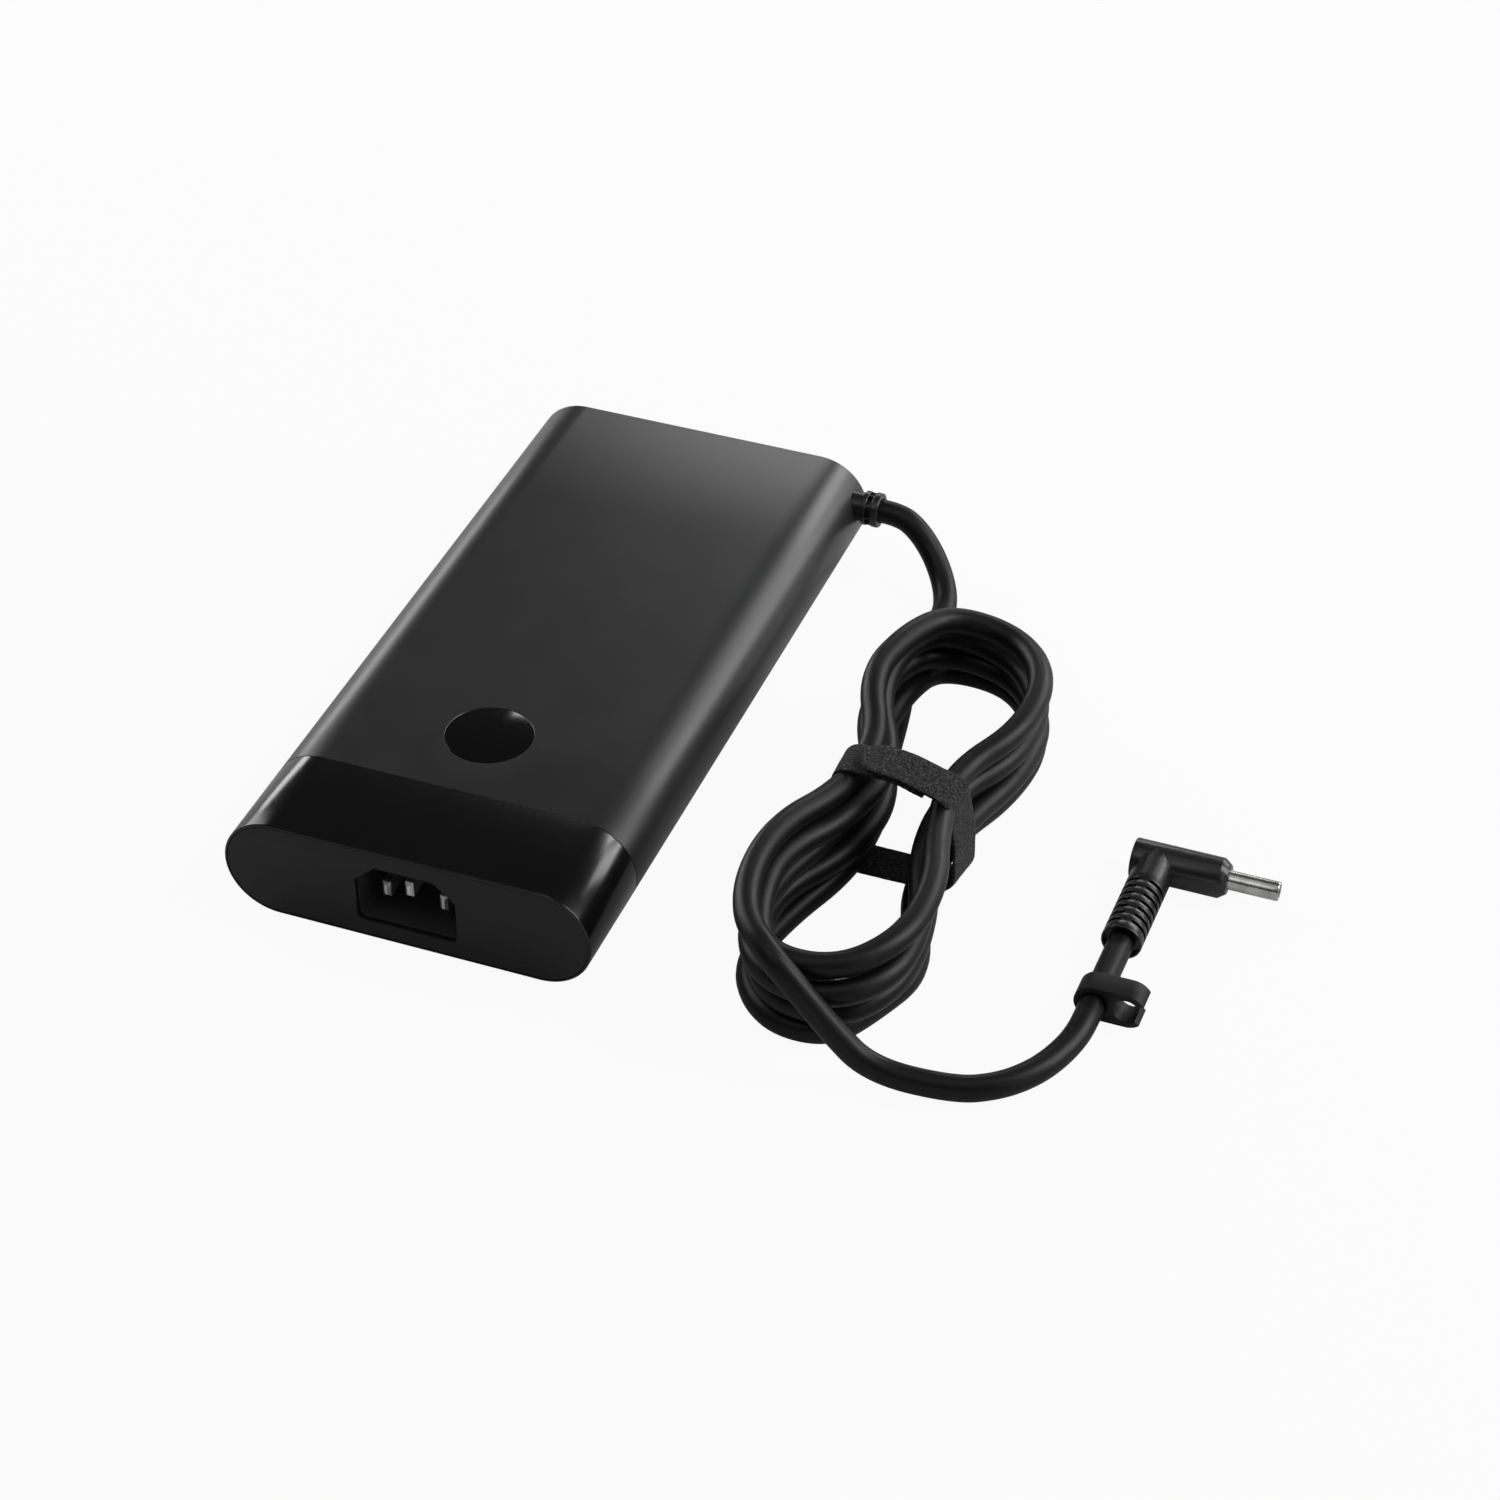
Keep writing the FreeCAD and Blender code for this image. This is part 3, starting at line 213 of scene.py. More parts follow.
finishes = {
    "housing_plastic": {
        "tones": ((0.016, 0.016, 0.0165), (0.0195, 0.0195, 0.02)),
        "rough": (0.31, 0.35), "grain": 3200, "relief": 0.006,
    },
    "gloss_band": {
        "tones": ((0.0022, 0.0022, 0.0024), (0.0032, 0.0032, 0.0034)),
        "rough": (0.16, 0.19), "grain": 300, "relief": 0.002,
    },
    "end_plate_plastic": {
        "tones": ((0.0055, 0.0055, 0.0057), (0.0075, 0.0075, 0.0077)),
        "rough": (0.44, 0.5), "grain": 3600, "relief": 0.008, "gloss": 0.38,
    },
    "inlay_gloss": {
        "tones": ((0.0022, 0.0022, 0.0024), (0.0032, 0.0032, 0.0034)),
        "rough": (0.09, 0.12), "grain": 400, "relief": 0.002,
    },
    "inlet_plastic": {
        "tones": ((0.042, 0.042, 0.0425), (0.055, 0.055, 0.0555)),
        "rough": (0.36, 0.44), "grain": 2600, "relief": 0.008, "edge": 0.25,
    },
    "pin_metal": {
        "tones": ((0.82, 0.81, 0.8), (0.92, 0.91, 0.9)), "stretch": (1, 8, 1), "metal": 1.0,
        "rough": (0.34, 0.42), "grain": 1800, "relief": 0.004, "edge": 0.12,
    },
    "gland_rubber": {
        "tones": ((0.007, 0.007, 0.0073), (0.01, 0.01, 0.0103)),
        "rough": (0.3, 0.36), "grain": 2600, "relief": 0.01,
    },
    "cord_pvc": {
        "tones": ((0.0035, 0.0035, 0.0037), (0.005, 0.005, 0.0052)),
        "rough": (0.4, 0.46), "grain": 1500, "relief": 0.01, "gloss": 0.25,
    },
    "clip_rubber": {
        "tones": ((0.006, 0.006, 0.0062), (0.009, 0.009, 0.0093)),
        "rough": (0.42, 0.5), "grain": 2600, "relief": 0.01, "gloss": 0.22,
    },
    "plug_plastic": {
        "tones": ((0.007, 0.007, 0.0074), (0.01, 0.01, 0.0104)),
        "rough": (0.27, 0.34), "grain": 2400, "relief": 0.01, "edge": 0.15,
    },
    "barrel_metal": {
        "tones": ((0.44, 0.435, 0.43), (0.56, 0.555, 0.55)), "stretch": (10, 1, 1), "metal": 1.0,
        "rough": (0.2, 0.3), "grain": 1600, "relief": 0.003,
    },
    "insulator_plastic": {
        "tones": ((0.004, 0.004, 0.004), (0.008, 0.008, 0.008)),
        "rough": (0.45, 0.55), "grain": 3000, "relief": 0.008,
    },
    "contact_metal": {
        "tones": ((0.58, 0.45, 0.22), (0.7, 0.56, 0.3)), "metal": 1.0,
        "rough": (0.22, 0.32), "grain": 2000, "relief": 0.003,
    },
    "aluminium_sheet": {
        "tones": ((0.6, 0.6, 0.61), (0.74, 0.74, 0.75)), "stretch": (1, 14, 1), "metal": 1.0,
        "rough": (0.32, 0.46), "grain": 700, "relief": 0.006,
    },
    "liner_film": {
        "tones": ((0.62, 0.59, 0.5), (0.7, 0.67, 0.58)),
        "rough": (0.3, 0.4), "grain": 300, "relief": 0.02,
    },
    "ferrite": {
        "tones": ((0.035, 0.035, 0.037), (0.07, 0.07, 0.072)),
        "rough": (0.5, 0.66), "grain": 2600, "relief": 0.03,
    },
    "bobbin_plastic": {
        "tones": ((0.05, 0.045, 0.04), (0.075, 0.065, 0.06)),
        "rough": (0.42, 0.52), "grain": 1200, "relief": 0.01,
    },
    "capacitor_can": {
        "tones": ((0.05, 0.055, 0.075), (0.08, 0.085, 0.11)),
        "rough": (0.26, 0.36), "grain": 500, "relief": 0.01,
    },
    "capacitor_box": {
        "tones": ((0.55, 0.38, 0.06), (0.66, 0.48, 0.1)),
        "rough": (0.36, 0.46), "grain": 900, "relief": 0.01,
    },
    "ceramic_disc": {
        "tones": ((0.05, 0.13, 0.34), (0.08, 0.19, 0.44)),
        "rough": (0.3, 0.42), "grain": 900, "relief": 0.03,
    },
    "epoxy_case": {
        "tones": ((0.012, 0.012, 0.013), (0.024, 0.024, 0.026)),
        "rough": (0.44, 0.56), "grain": 2600, "relief": 0.01,
    },
    "thermal_pad": {
        "tones": ((0.3, 0.33, 0.38), (0.38, 0.41, 0.46)),
        "rough": (0.6, 0.74), "grain": 900, "relief": 0.03,
    },
    "lead_sleeve": {
        "tones": ((0.34, 0.02, 0.015), (0.44, 0.035, 0.025)),
        "rough": (0.34, 0.44), "grain": 1200, "relief": 0.01,
    },
}


def setSockets(node, values):
    for socket, value in values.items():
        node.inputs[socket].default_value = value


class NodeBoard:
    # the nodes of a material or a world, wired by name
    def __init__(self, owner):
        owner.use_nodes = True
        self.owner = owner
        self.nodes = owner.node_tree.nodes
        self.links = owner.node_tree.links
        self.shader = self.nodes.get("Principled BSDF")
        self.coords = self.add("ShaderNodeTexCoord")

    def add(self, kind, sockets=None, **settings):
        node = self.nodes.new(kind)
        for key, value in settings.items():
            setattr(node, key, value)
        setSockets(node, sockets or {})
        return node

    def wire(self, source, output, target, socket):
        self.links.new(source.outputs[output], target.inputs[socket])

    def stretched(self, scale):
        mapping = self.add("ShaderNodeMapping", {"Scale": scale})
        self.wire(self.coords, "Object", mapping, "Vector")
        return mapping

    def speckle(self, scale, detail=3.0, mapping=None):
        cloud = self.add("ShaderNodeTexNoise", {"Scale": scale, "Detail": detail})
        if mapping is None:
            self.wire(self.coords, "Object", cloud, "Vector")
        else:
            self.wire(mapping, "Vector", cloud, "Vector")
        return cloud

    def remap(self, source, output, before, after):
        limits = {"From Min": before[0], "From Max": before[1], "To Min": after[0], "To Max": after[1]}
        spread = self.add("ShaderNodeMapRange", limits)
        self.wire(source, output, spread, "Value")
        return spread

    def tint(self, source, output, tones, span=(0.35, 0.65)):
        ramp = self.add("ShaderNodeValToRGB")
        for stop, place, tone in zip(ramp.color_ramp.elements, span, tones):
            stop.position = place
            stop.color = (*tone, 1.0)
        self.wire(source, output, ramp, "Fac")
        self.wire(ramp, "Color", self.shader, "Base Color")

    def roughen(self, source, limits, span=(0.3, 0.7)):
        spread = self.remap(source, "Fac", span, limits)
        self.wire(spread, "Result", self.shader, "Roughness")

    def emboss(self, source, output, relief, edge=0.0):
        bump = self.add("ShaderNodeBump", {"Strength": 1.0, "Distance": relief * mm})
        self.wire(source, output, bump, "Height")
        if edge:
            rounded = self.add("ShaderNodeBevel", {"Radius": edge * mm}, samples=6)
            self.wire(rounded, "Normal", bump, "Normal")
        self.wire(bump, "Normal", self.shader, "Normal")


def finishBoard(name):
    return NodeBoard(bpy.data.materials.new(name))


def mouldedFinish(name, look):
    # a fine grain over slow changes of tone and polish
    board = finishBoard(name)
    slowShare = 0.02
    mapping = board.stretched(look["stretch"]) if "stretch" in look else None
    slow = board.speckle(look["grain"] * slowShare, 2.0, mapping)
    fine = board.speckle(look["grain"], mapping=mapping)
    board.tint(slow, "Fac", look["tones"])
    board.roughen(fine, look["rough"])
    board.emboss(fine, "Fac", look["relief"], look.get("edge", 0.0))
    setSockets(board.shader, {
        "Metallic": look.get("metal", 0.0),
        "Specular IOR Level": look.get("gloss", 0.5),
    })
    return board.owner


strapWeave = {
    # tones: near black as painted shade in the pits between loops, dark grey for the yarn itself
    "tones": ((0.0025, 0.0025, 0.0027), (0.062, 0.062, 0.064)),
    "toneSpan": (0.15, 0.4),
    "loops": 2700,
    "yarn": 1620,
    "relief": 0.2,
    "rough": 0.85,
    "gloss": 0.2,
    "sheen": 0.08,
    "sheenRough": 0.5,
}


def wovenFinish(name, look):
    # short loops, closely packed, each with the strands of its yarn; the tone follows their relief, with
    # painted shade in the low pits between loops
    board = finishBoard(name)
    loops = board.add(
        "ShaderNodeTexVoronoi", {"Scale": look["loops"], "Randomness": 1.0}, feature="SMOOTH_F1",
    )
    board.wire(board.coords, "Object", loops, "Vector")
    yarn = board.speckle(look["yarn"], 4.0)
    loopReliefAndShade = board.add("ShaderNodeMath", operation="MULTIPLY")
    board.wire(loops, "Distance", loopReliefAndShade, 0)
    board.wire(yarn, "Fac", loopReliefAndShade, 1)
    # painted shade: darker where the loops sit low
    board.tint(loopReliefAndShade, "Value", look["tones"], look["toneSpan"])
    board.emboss(loopReliefAndShade, "Value", look["relief"])
    setSockets(board.shader, {
        "Roughness": look["rough"],
        "Specular IOR Level": look["gloss"],
        "Sheen Weight": look["sheen"],
        "Sheen Roughness": look["sheenRough"],
    })
    return board.owner


boardLaminate = {
    "mask": (0.012, 0.085, 0.035),
    "maskLight": (0.0144, 0.102, 0.042),
    "track": (0.03, 0.15, 0.06),
    "trackShare": 0.06,
    "cells": 260,
    "relief": 0.04,
    "grain": 600,
    "rough": (0.32, 0.42),
}


def laminateFinish(name, look):
    # green solder mask over slightly raised tracks
    board = finishBoard(name)
    tracks = board.add("ShaderNodeTexBrick", {
        "Scale": look["cells"],
        "Mortar Size": look["trackShare"],
        "Color1": (*look["mask"], 1),
        "Color2": (*look["maskLight"], 1),
        "Mortar": (*look["track"], 1),
    })
    board.wire(board.coords, "Object", tracks, "Vector")
    board.wire(tracks, "Color", board.shader, "Base Color")
    board.emboss(tracks, "Fac", look["relief"])
    board.roughen(board.speckle(look["grain"]), look["rough"])
    return board.owner


shadedCopperTurns = {
    # tones: dark copper as painted shade in the grooves, bright copper as painted highlight on the crests
    "tones": ((0.28, 0.075, 0.02), (0.62, 0.24, 0.08)),
    "toneSpan": (0.1, 0.8),
    "pitch": 0.7,
    "unevenness": 0.4,
    "relief": 0.1,
    "grain": 900,
    "rough": (0.3, 0.42),
    "metal": 0.8,
}


def windingFinish(name, look):
    # enamelled wire, turn beside turn; its tone follows the relief, with painted shade in the grooves between
    # turns and a painted highlight on their crests
    board = finishBoard(name)
    scale = 1.0 / (look["pitch"] * mm) / math.pi
    turns = board.add(
        "ShaderNodeTexWave", {"Scale": scale, "Distortion": look["unevenness"]},
        bands_direction="Y", wave_profile="SIN",
    )
    board.wire(board.coords, "Object", turns, "Vector")
    # painted shade in the grooves and painted highlight on the crests, from the same bands as the relief
    board.tint(turns, "Fac", look["tones"], look["toneSpan"])
    board.emboss(turns, "Fac", look["relief"])
    board.roughen(board.speckle(look["grain"]), look["rough"])
    setSockets(board.shader, {"Metallic": look["metal"]})
    return board.owner


materials = {slot: mouldedFinish(slot, look) for slot, look in finishes.items()}
materials["strap_fabric"] = wovenFinish("strap_fabric", strapWeave)
materials["board_laminate"] = laminateFinish("board_laminate", boardLaminate)
materials["copper_winding"] = windingFinish("copper_winding", shadedCopperTurns)
for part in frame["record"]["subparts"]:
    node = frame["nodes"][part["node"]]
    node.data.materials.clear()
    node.data.materials.append(materials[part["material_slot"]])
print("finishes ready:", len(materials))

# Mesh work shared by the pieces, in millimetres

onAxis = 0.001  # the radius at which a turned profile ends


def addPiece(name, mesh, slot, body, nodes=(), sharp=32.0):
    # faces that meet at more than the angle sharp, in degrees, keep a hard edge
    mesh.polygons.foreach_set("use_smooth", [True] * len(mesh.polygons))
    mesh.set_sharp_from_angle(angle=math.radians(sharp))
    mesh.materials.clear()
    mesh.materials.append(materials[slot])
    piece = bpy.data.objects.new(name, mesh)
    bpy.context.scene.collection.objects.link(piece)
    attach(piece, body)
    if nodes:
        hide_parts(*nodes)
    return piece


def closeMesh(work, mesh):
    bmesh.ops.recalc_face_normals(work, faces=work.faces)
    work.to_mesh(mesh)
    work.free()
    return mesh


def loftMesh(name, rings, closed=False, caps=False):
    # a skin from ring to ring: closed joins the last to the first, caps fill both
    work = bmesh.new()
    layers = [[work.verts.new([c * mm for c in point]) for point in ring] for ring in rings]
    pairs = list(zip(layers, layers[1:]))
    if closed:
        pairs.append((layers[-1], layers[0]))
    for lower, upper in pairs:
        for k in range(len(lower)):
            after = (k + 1) % len(lower)
            work.faces.new((lower[k], lower[after], upper[after], upper[k]))
    if caps:
        work.faces.new(layers[0])
        work.faces.new(layers[-1])
    return closeMesh(work, bpy.data.meshes.new(name))


def turnedMesh(name, profile, steps, place, closed=False):
    # profile of (along, radius), turned about an axis; place(along, a, b) puts it in the frame
    angles = [2 * math.pi * k / steps for k in range(steps)]
    rings = []
    for along, radius in profile:
        rings.append([place(along, radius * math.cos(a), radius * math.sin(a)) for a in angles])
    return loftMesh(name, rings, closed=closed, caps=not closed)


def outlineMesh(name, loops, thickness, bevel, toWorld):
    # a flat plate from closed outlines, later ones holes, with its edges rounded
    sketch = bpy.data.curves.new(name, "CURVE")
    sketch.dimensions = "2D"
    sketch.fill_mode = "BOTH"
    for loop in loops:
        spline = sketch.splines.new("POLY")
        spline.points.add(len(loop) - 1)
        for point, (x, y) in zip(spline.points, loop):
            point.co = (x * mm, y * mm, 0, 1)
        spline.use_cyclic_u = True
    sketch.extrude = (thickness / 2 - bevel) * mm
    sketch.bevel_depth = bevel * mm
    sketch.bevel_resolution = 2
    sketch.offset = -bevel * mm
    holder = bpy.data.objects.new(name, sketch)
    bpy.context.scene.collection.objects.link(holder)
    ready = holder.evaluated_get(bpy.context.evaluated_depsgraph_get())
    mesh = bpy.data.meshes.new_from_object(ready)
    bpy.data.objects.remove(holder)
    mesh.transform(toWorld)
    work = bmesh.new()
    work.from_mesh(mesh)
    bmesh.ops.remove_doubles(work, verts=work.verts, dist=0.001 * mm)
    return closeMesh(work, mesh)


def carve(mesh, cutters, operation="DIFFERENCE"):
    # applies exact booleans and returns the mesh that results
    objects = bpy.context.scene.collection.objects
    blank = bpy.data.objects.new("carveBlank", mesh)
    objects.link(blank)
    tools = []
    for cutter in cutters:
        tool = bpy.data.objects.new("carveTool", cutter)
        objects.link(tool)
        tools.append(tool)
        step = blank.modifiers.new("carve", "BOOLEAN")
        step.operation = operation
        step.solver = "EXACT"
        step.object = tool
    ready = blank.evaluated_get(bpy.context.evaluated_depsgraph_get())
    result = bpy.data.meshes.new_from_object(ready)
    for holder in (blank, *tools):
        bpy.data.objects.remove(holder)
    return result


def arcPoints(cx, cy, radius, first, last, steps):
    angles = [math.radians(first + (last - first) * k / steps) for k in range(steps + 1)]
    return [(cx + radius * math.cos(a), cy + radius * math.sin(a)) for a in angles]


def easedEdge(face, radius, towards, steps=4):
    # points of (along, inset) that round the edge of an end face; towards is 1 where the side runs on to
    # larger values and -1 where it runs on to smaller ones
    points = []
    for k in range(steps + 1):
        angle = math.pi / 2 * k / steps
        points.append((face + towards * radius * (1 - math.cos(angle)), radius * (1 - math.sin(angle))))
    return points


def frontOn(y):
    # drawings of X and Z, facing the front, stood at y
    return Matrix(((1, 0, 0, 0), (0, 0, -1, y * mm), (0, 1, 0, 0), (0, 0, 0, 1)))


# Housing: sleeve, gloss band, round inlay and end plates

housing = {
    "halfStraight": 31.9,
    "middle": 12.7,
    "wall": 2.2,
    "front": -90.5,
    "rear": 90.5,
    "seam": -64.3,
    "seamGap": 0.06,
    "lip": 0.6,
    "frontPlate": 1.6,
    "rearPlate": 1.2,
    "plateInset": 0.66,
    # how far each edge is rounded
    "seamEase": 0.16,
    "frontEase": 0.42,
    "rearEase": 0.35,
    "frontPlateEase": 0.3,
    "rearPlateEase": 0.14,
    # where the mesh is divided: round each side, across the flats and along the sleeve
    "arcSteps": 40,
    "flatShares": (0.004, 0.02, 0.1, 0.3, 0.5, 0.7, 0.9, 0.98, 0.996),
    "sleeveRings": (-40.0, 0.0, 50.0),
}


def ovalOutline(inset):
    # the cross-section: flat above and below, half round at the sides
    level, half, steps = housing["middle"], housing["halfStraight"], housing["arcSteps"]
    radius = level - inset
    points = []
    for side in (1, -1):
        for k in range(steps + 1):
            angle = math.pi * (k / steps - 0.5)
            points.append((side * (half + radius * math.cos(angle)), level + side * radius * math.sin(angle)))
        for share in housing["flatShares"]:
            points.append((side * half * (1 - 2 * share), level + side * radius))
    return points


def ovalShell(name, profile):
    # profile of (y, inset) round the wall, closed on itself
    rings = [[(x, y, z) for x, z in ovalOutline(inset)] for y, inset in profile]
    return loftMesh(name, rings, closed=True)


inlay = {
    "along": -43.3,
    "steps": 128,
    # height above the housing's top, radius
    "seat": ((-0.6, onAxis), (-0.6, 10.3), (-0.1, 10.3), (0.06, 10.46), (0.06, onAxis)),
    "disc": ((-0.58, onAxis), (-0.58, 10.2), (-0.16, 10.2), (-0.08, 10.16), (-0.05, 10.06), (-0.05, onAxis)),
}


def inlayMesh(name, shape):
    top = 2 * housing["middle"]
    profile = [(top + rise, radius) for rise, radius in shape]
    return turnedMesh(name, profile, inlay["steps"], lambda along, a, b: (a, inlay["along"] + b, along))


def housingSleeve():
    seam = housing["seam"] + housing["seamGap"]
    rear, wall, lip = housing["rear"], housing["wall"], housing["lip"]
    ledge = rear - housing["rearPlate"]
    profile = [(seam, wall), *easedEdge(seam, housing["seamEase"], 1)]
    profile += [(y, 0) for y in housing["sleeveRings"]]
    profile += reversed(easedEdge(rear, housing["rearEase"], -1))
    profile += [(rear, lip), (ledge, lip), (ledge, wall)]
    mesh = carve(ovalShell("housingSleeve", profile), [inlayMesh("inlaySeat", inlay["seat"])])
    addPiece("housingSleeve", mesh, "housing_plastic", "adapter", ["main_sleeve"])


def glossBand():
    seam = housing["seam"] - housing["seamGap"]
    front, wall, lip = housing["front"], housing["wall"], housing["lip"]
    ledge = front + housing["frontPlate"]
    profile = [(seam, wall), *easedEdge(seam, housing["seamEase"], -1)]
    profile += reversed(easedEdge(front, housing["frontEase"], 1))
    profile += [(front, lip), (ledge, lip), (ledge, wall)]
    addPiece("glossBand", ovalShell("glossBand", profile), "gloss_band", "adapter", ["gloss_front_band"])


def roundInlay():
    mesh = inlayMesh("roundInlay", inlay["disc"])
    addPiece("roundInlay", mesh, "inlay_gloss", "adapter", ["top_round_inlay"])


inlet = {"half": 12.1, "low": 4.65, "high": 20.5, "cutAcross": 5.1, "cutDown": 4.6, "corner": 1.5}


def inletOutline():
    # its lower corners are rounded and its upper corners cut off
    half, low, high, r = inlet["half"], inlet["low"], inlet["high"], inlet["corner"]
    right = arcPoints(half - r, low + r, r, -90, 0, steps=9)
    right += [(half, high - inlet["cutDown"]), (half - inlet["cutAcross"], high)]
    return right + [(-x, z) for x, z in reversed(right)]


def endPlates():
    # each plate stands inwards from its own end of the case
    plates = (
        ("frontPlate", "front_end_plate", housing["front"], 1, [inletOutline()]),
        ("rearPlate", "rear_end_plate", housing["rear"], -1, []),
    )
    for name, node, face, inwards, holes in plates:
        thick = housing[name]
        loops = [ovalOutline(housing["plateInset"]), *holes]
        mesh = outlineMesh(name, loops, thick, housing[name + "Ease"], frontOn(face + inwards * thick / 2))
        addPiece(name, mesh, "end_plate_plastic", "adapter", [node])


housingSleeve()
glossBand()
roundInlay()
endPlates()
print("housing made")

# Cord gland, with a row of windows round its waist

gland = {
    "across": 85.4,
    "height": 16.3,
    "face": 50.1,
    "steps": 96,
    # distance behind the face, radius: neck in the wall, rear ring, waist, front ring, mouth
    "profile": (
        (12.1, onAxis), (12.1, 3.7), (4.55, 3.7),
        (4.5, 4.2), (4.3, 4.35), (3.45, 4.35), (3.3, 4.25),
        (3.25, 4.15), (1.95, 4.15),
        (1.9, 4.28), (1.7, 4.4), (0.42, 4.4), (0.2, 4.34), (0.06, 4.2), (0.0, 3.98),
        (0.0, 3.2), (0.7, 3.06), (0.7, onAxis),
    ),
    "windows": 8,
    "firstWindow": 116.5,
    "halfWindow": 18,
    "windowRadii": (3.0, 5.2),
    "windowEnds": (3.23, 1.97),
}


def onGlandAxis(along, a, b):
    return (along, gland["across"] + a, gland["height"] + b)


def cordGland():
    face = gland["face"]
    profile = [(face - behind, radius) for behind, radius in gland["profile"]]
    mesh = turnedMesh("glandCollar", profile, gland["steps"], onGlandAxis)
    inside, outside = gland["windowRadii"]
    cutters = []
    for k in range(gland["windows"]):
        middle = gland["firstWindow"] + 360 * k / gland["windows"]
        first, last = middle - gland["halfWindow"], middle + gland["halfWindow"]
        outline = arcPoints(0, 0, outside, first, last, steps=8)
        outline += arcPoints(0, 0, inside, last, first, steps=8)
        rings = [[onGlandAxis(face - behind, a, b) for a, b in outline] for behind in gland["windowEnds"]]
        cutters.append(loftMesh("glandWindow", rings, caps=True))
    addPiece("glandCollar", carve(mesh, cutters), "gland_rubber", "adapter", ["cord_gland"], sharp=28)


cordGland()
print("gland made")

# Plug: barrel-shaped body, strain relief with its rows of slots, and the metal barrel

plug = {
    "level": 4.7,
    "across": -8.6,
    "radius": 4.7,
    "left": 144.0,
    "right": 166.4,
    "leftEase": 0.3,
    # distance from the right end, depth below the surface
    "rightEdge": ((1.9, 0.0), (1.72, 0.04), (0.12, 1.2), (0.0, 1.36)),
    "steps": 96,
}


def onPlugAxis(along, a, b):
    return (along, plug["across"] + a, plug["level"] + b)


def plugBody():
    left, right, r = plug["left"], plug["right"], plug["radius"]
    profile = [(left, onAxis)]
    profile += [(along, r - inset) for along, inset in easedEdge(left, plug["leftEase"], 1, steps=5)]
    profile += [(right - back, r - inset) for back, inset in plug["rightEdge"]]
    profile.append((right, onAxis))
    return turnedMesh("plugBody", profile, plug["steps"], onPlugAxis)


strainRelief = {
    "axis": 149.6,
    "rings": (-8.6, -12.0, -18.0),
    "rows": 7,
    "firstSlot": -20.1,
    "pitch": 2.42,
    "slotWidth": 0.95,
    "slotDepth": 1.7,
    # distance outside a slot's edge, depth there
    "slotEdge": ((0.1, 0.0), (0.02, 0.03)),
    # distance inside the edge at which a slot reaches its full depth
    "slotWall": 0.06,
    # half the width of the spine on top, and the share of the slots' depth that is cut across it
    "spine": 1.25,
    "spineCut": 0.13,
    # degrees from the top at which a slot starts to end, and degrees over which its depth changes
    "slotEnd": 142,
    "fade": 3,
    "slotSteps": 22,
    "underside": (155, 165, 174, 180),
    "end": -37.9,
    # distance in from the end, depth below the surface
    "mouth": ((0.25, 0.0), (0.07, 0.05), (0.0, 0.16), (0.0, 0.42), (0.06, 0.5), (1.2, 0.52), (1.2, 4.699)),
}


def spineAngle():
    return math.degrees(strainRelief["spine"] / plug["radius"])


def reliefLeans():
    # degrees from the top, to either side, at which each ring has its points
    spine, fade, last = spineAngle(), strainRelief["fade"], strainRelief["slotEnd"]
    steps = strainRelief["slotSteps"]
    marks = [0, spine / 2, spine, spine + fade / 2]
    marks += [spine + fade + (last - spine - fade) * k / steps for k in range(steps + 1)]
    marks += [last + fade / 2, last + fade, *strainRelief["underside"]]
    return [-mark for mark in reversed(marks[1:-1])] + marks


def slotDepthAt(lean):
    # how deep a slot is: in full on both flanks, a graze across the spine on top, and nothing below
    fade, spineCut = strainRelief["fade"], strainRelief["spineCut"]
    pastSpine = (abs(lean) - spineAngle()) / fade
    pastEnd = (abs(lean) - strainRelief["slotEnd"]) / fade
    share = spineCut + (1 - spineCut) * min(1.0, max(0.0, pastSpine))
    return strainRelief["slotDepth"] * min(share, max(0.0, 1 - pastEnd))


def reliefMesh():
    axis, level, end = strainRelief["axis"], plug["level"], strainRelief["end"]
    leans = reliefLeans()
    angles = [math.radians(90 - lean) for lean in leans]

    def even(depth):
        return [depth] * len(leans)

    rows = [(y, even(0.0)) for y in strainRelief["rings"]]
    slotSide = [(out, even(depth)) for out, depth in strainRelief["slotEdge"]]
    slotSide.append((-strainRelief["slotWall"], [slotDepthAt(lean) for lean in leans]))
    for row in range(strainRelief["rows"]):
        top = strainRelief["firstSlot"] - row * strainRelief["pitch"]
        low = top - strainRelief["slotWidth"]
        rows += [(top + out, depths) for out, depths in slotSide]
        rows += [(low - out, depths) for out, depths in reversed(slotSide)]
    rows += [(end + inwards, even(depth)) for inwards, depth in strainRelief["mouth"]]

    rings = []
    for y, depths in rows:
        radii = [plug["radius"] - depth for depth in depths]
        rings.append([(axis + r * math.cos(a), y, level + r * math.sin(a)) for r, a in zip(radii, angles)])
    return loftMesh("plugRelief", rings, caps=True)


def plugMoulding():
    mesh = carve(plugBody(), [reliefMesh()], "UNION")
    return addPiece("plugMoulding", mesh, "plug_plastic", "adapter", ["plug_overmould"], sharp=26)


barrel = {
    # x, radius: the end inside the moulding, the sleeve with its groove, the rounded tip
    "profile": (
        (163.0, 1.5), (163.0, 2.0), (166.4, 2.0),
        (166.4, 2.25), (176.2, 2.25), (176.24, 2.2), (176.36, 2.2), (176.4, 2.25), (177.7, 2.25),
        (177.95, 2.2), (178.08, 2.1), (178.1, 1.95), (178.1, 1.66), (178.02, 1.54), (177.85, 1.5),
    ),
    "steps": 96,
}


def plugBarrel():
    mesh = turnedMesh("plugBarrel", barrel["profile"], barrel["steps"], onPlugAxis, closed=True)
    return addPiece("plugBarrel", mesh, "barrel_metal", "adapter", ["plug_barrel"])


plugPiece = plugMoulding()
barrelPiece = plugBarrel()
print("plug made")

# Rubber clip on the cord: a round hole for its own cord and an open hook for another run

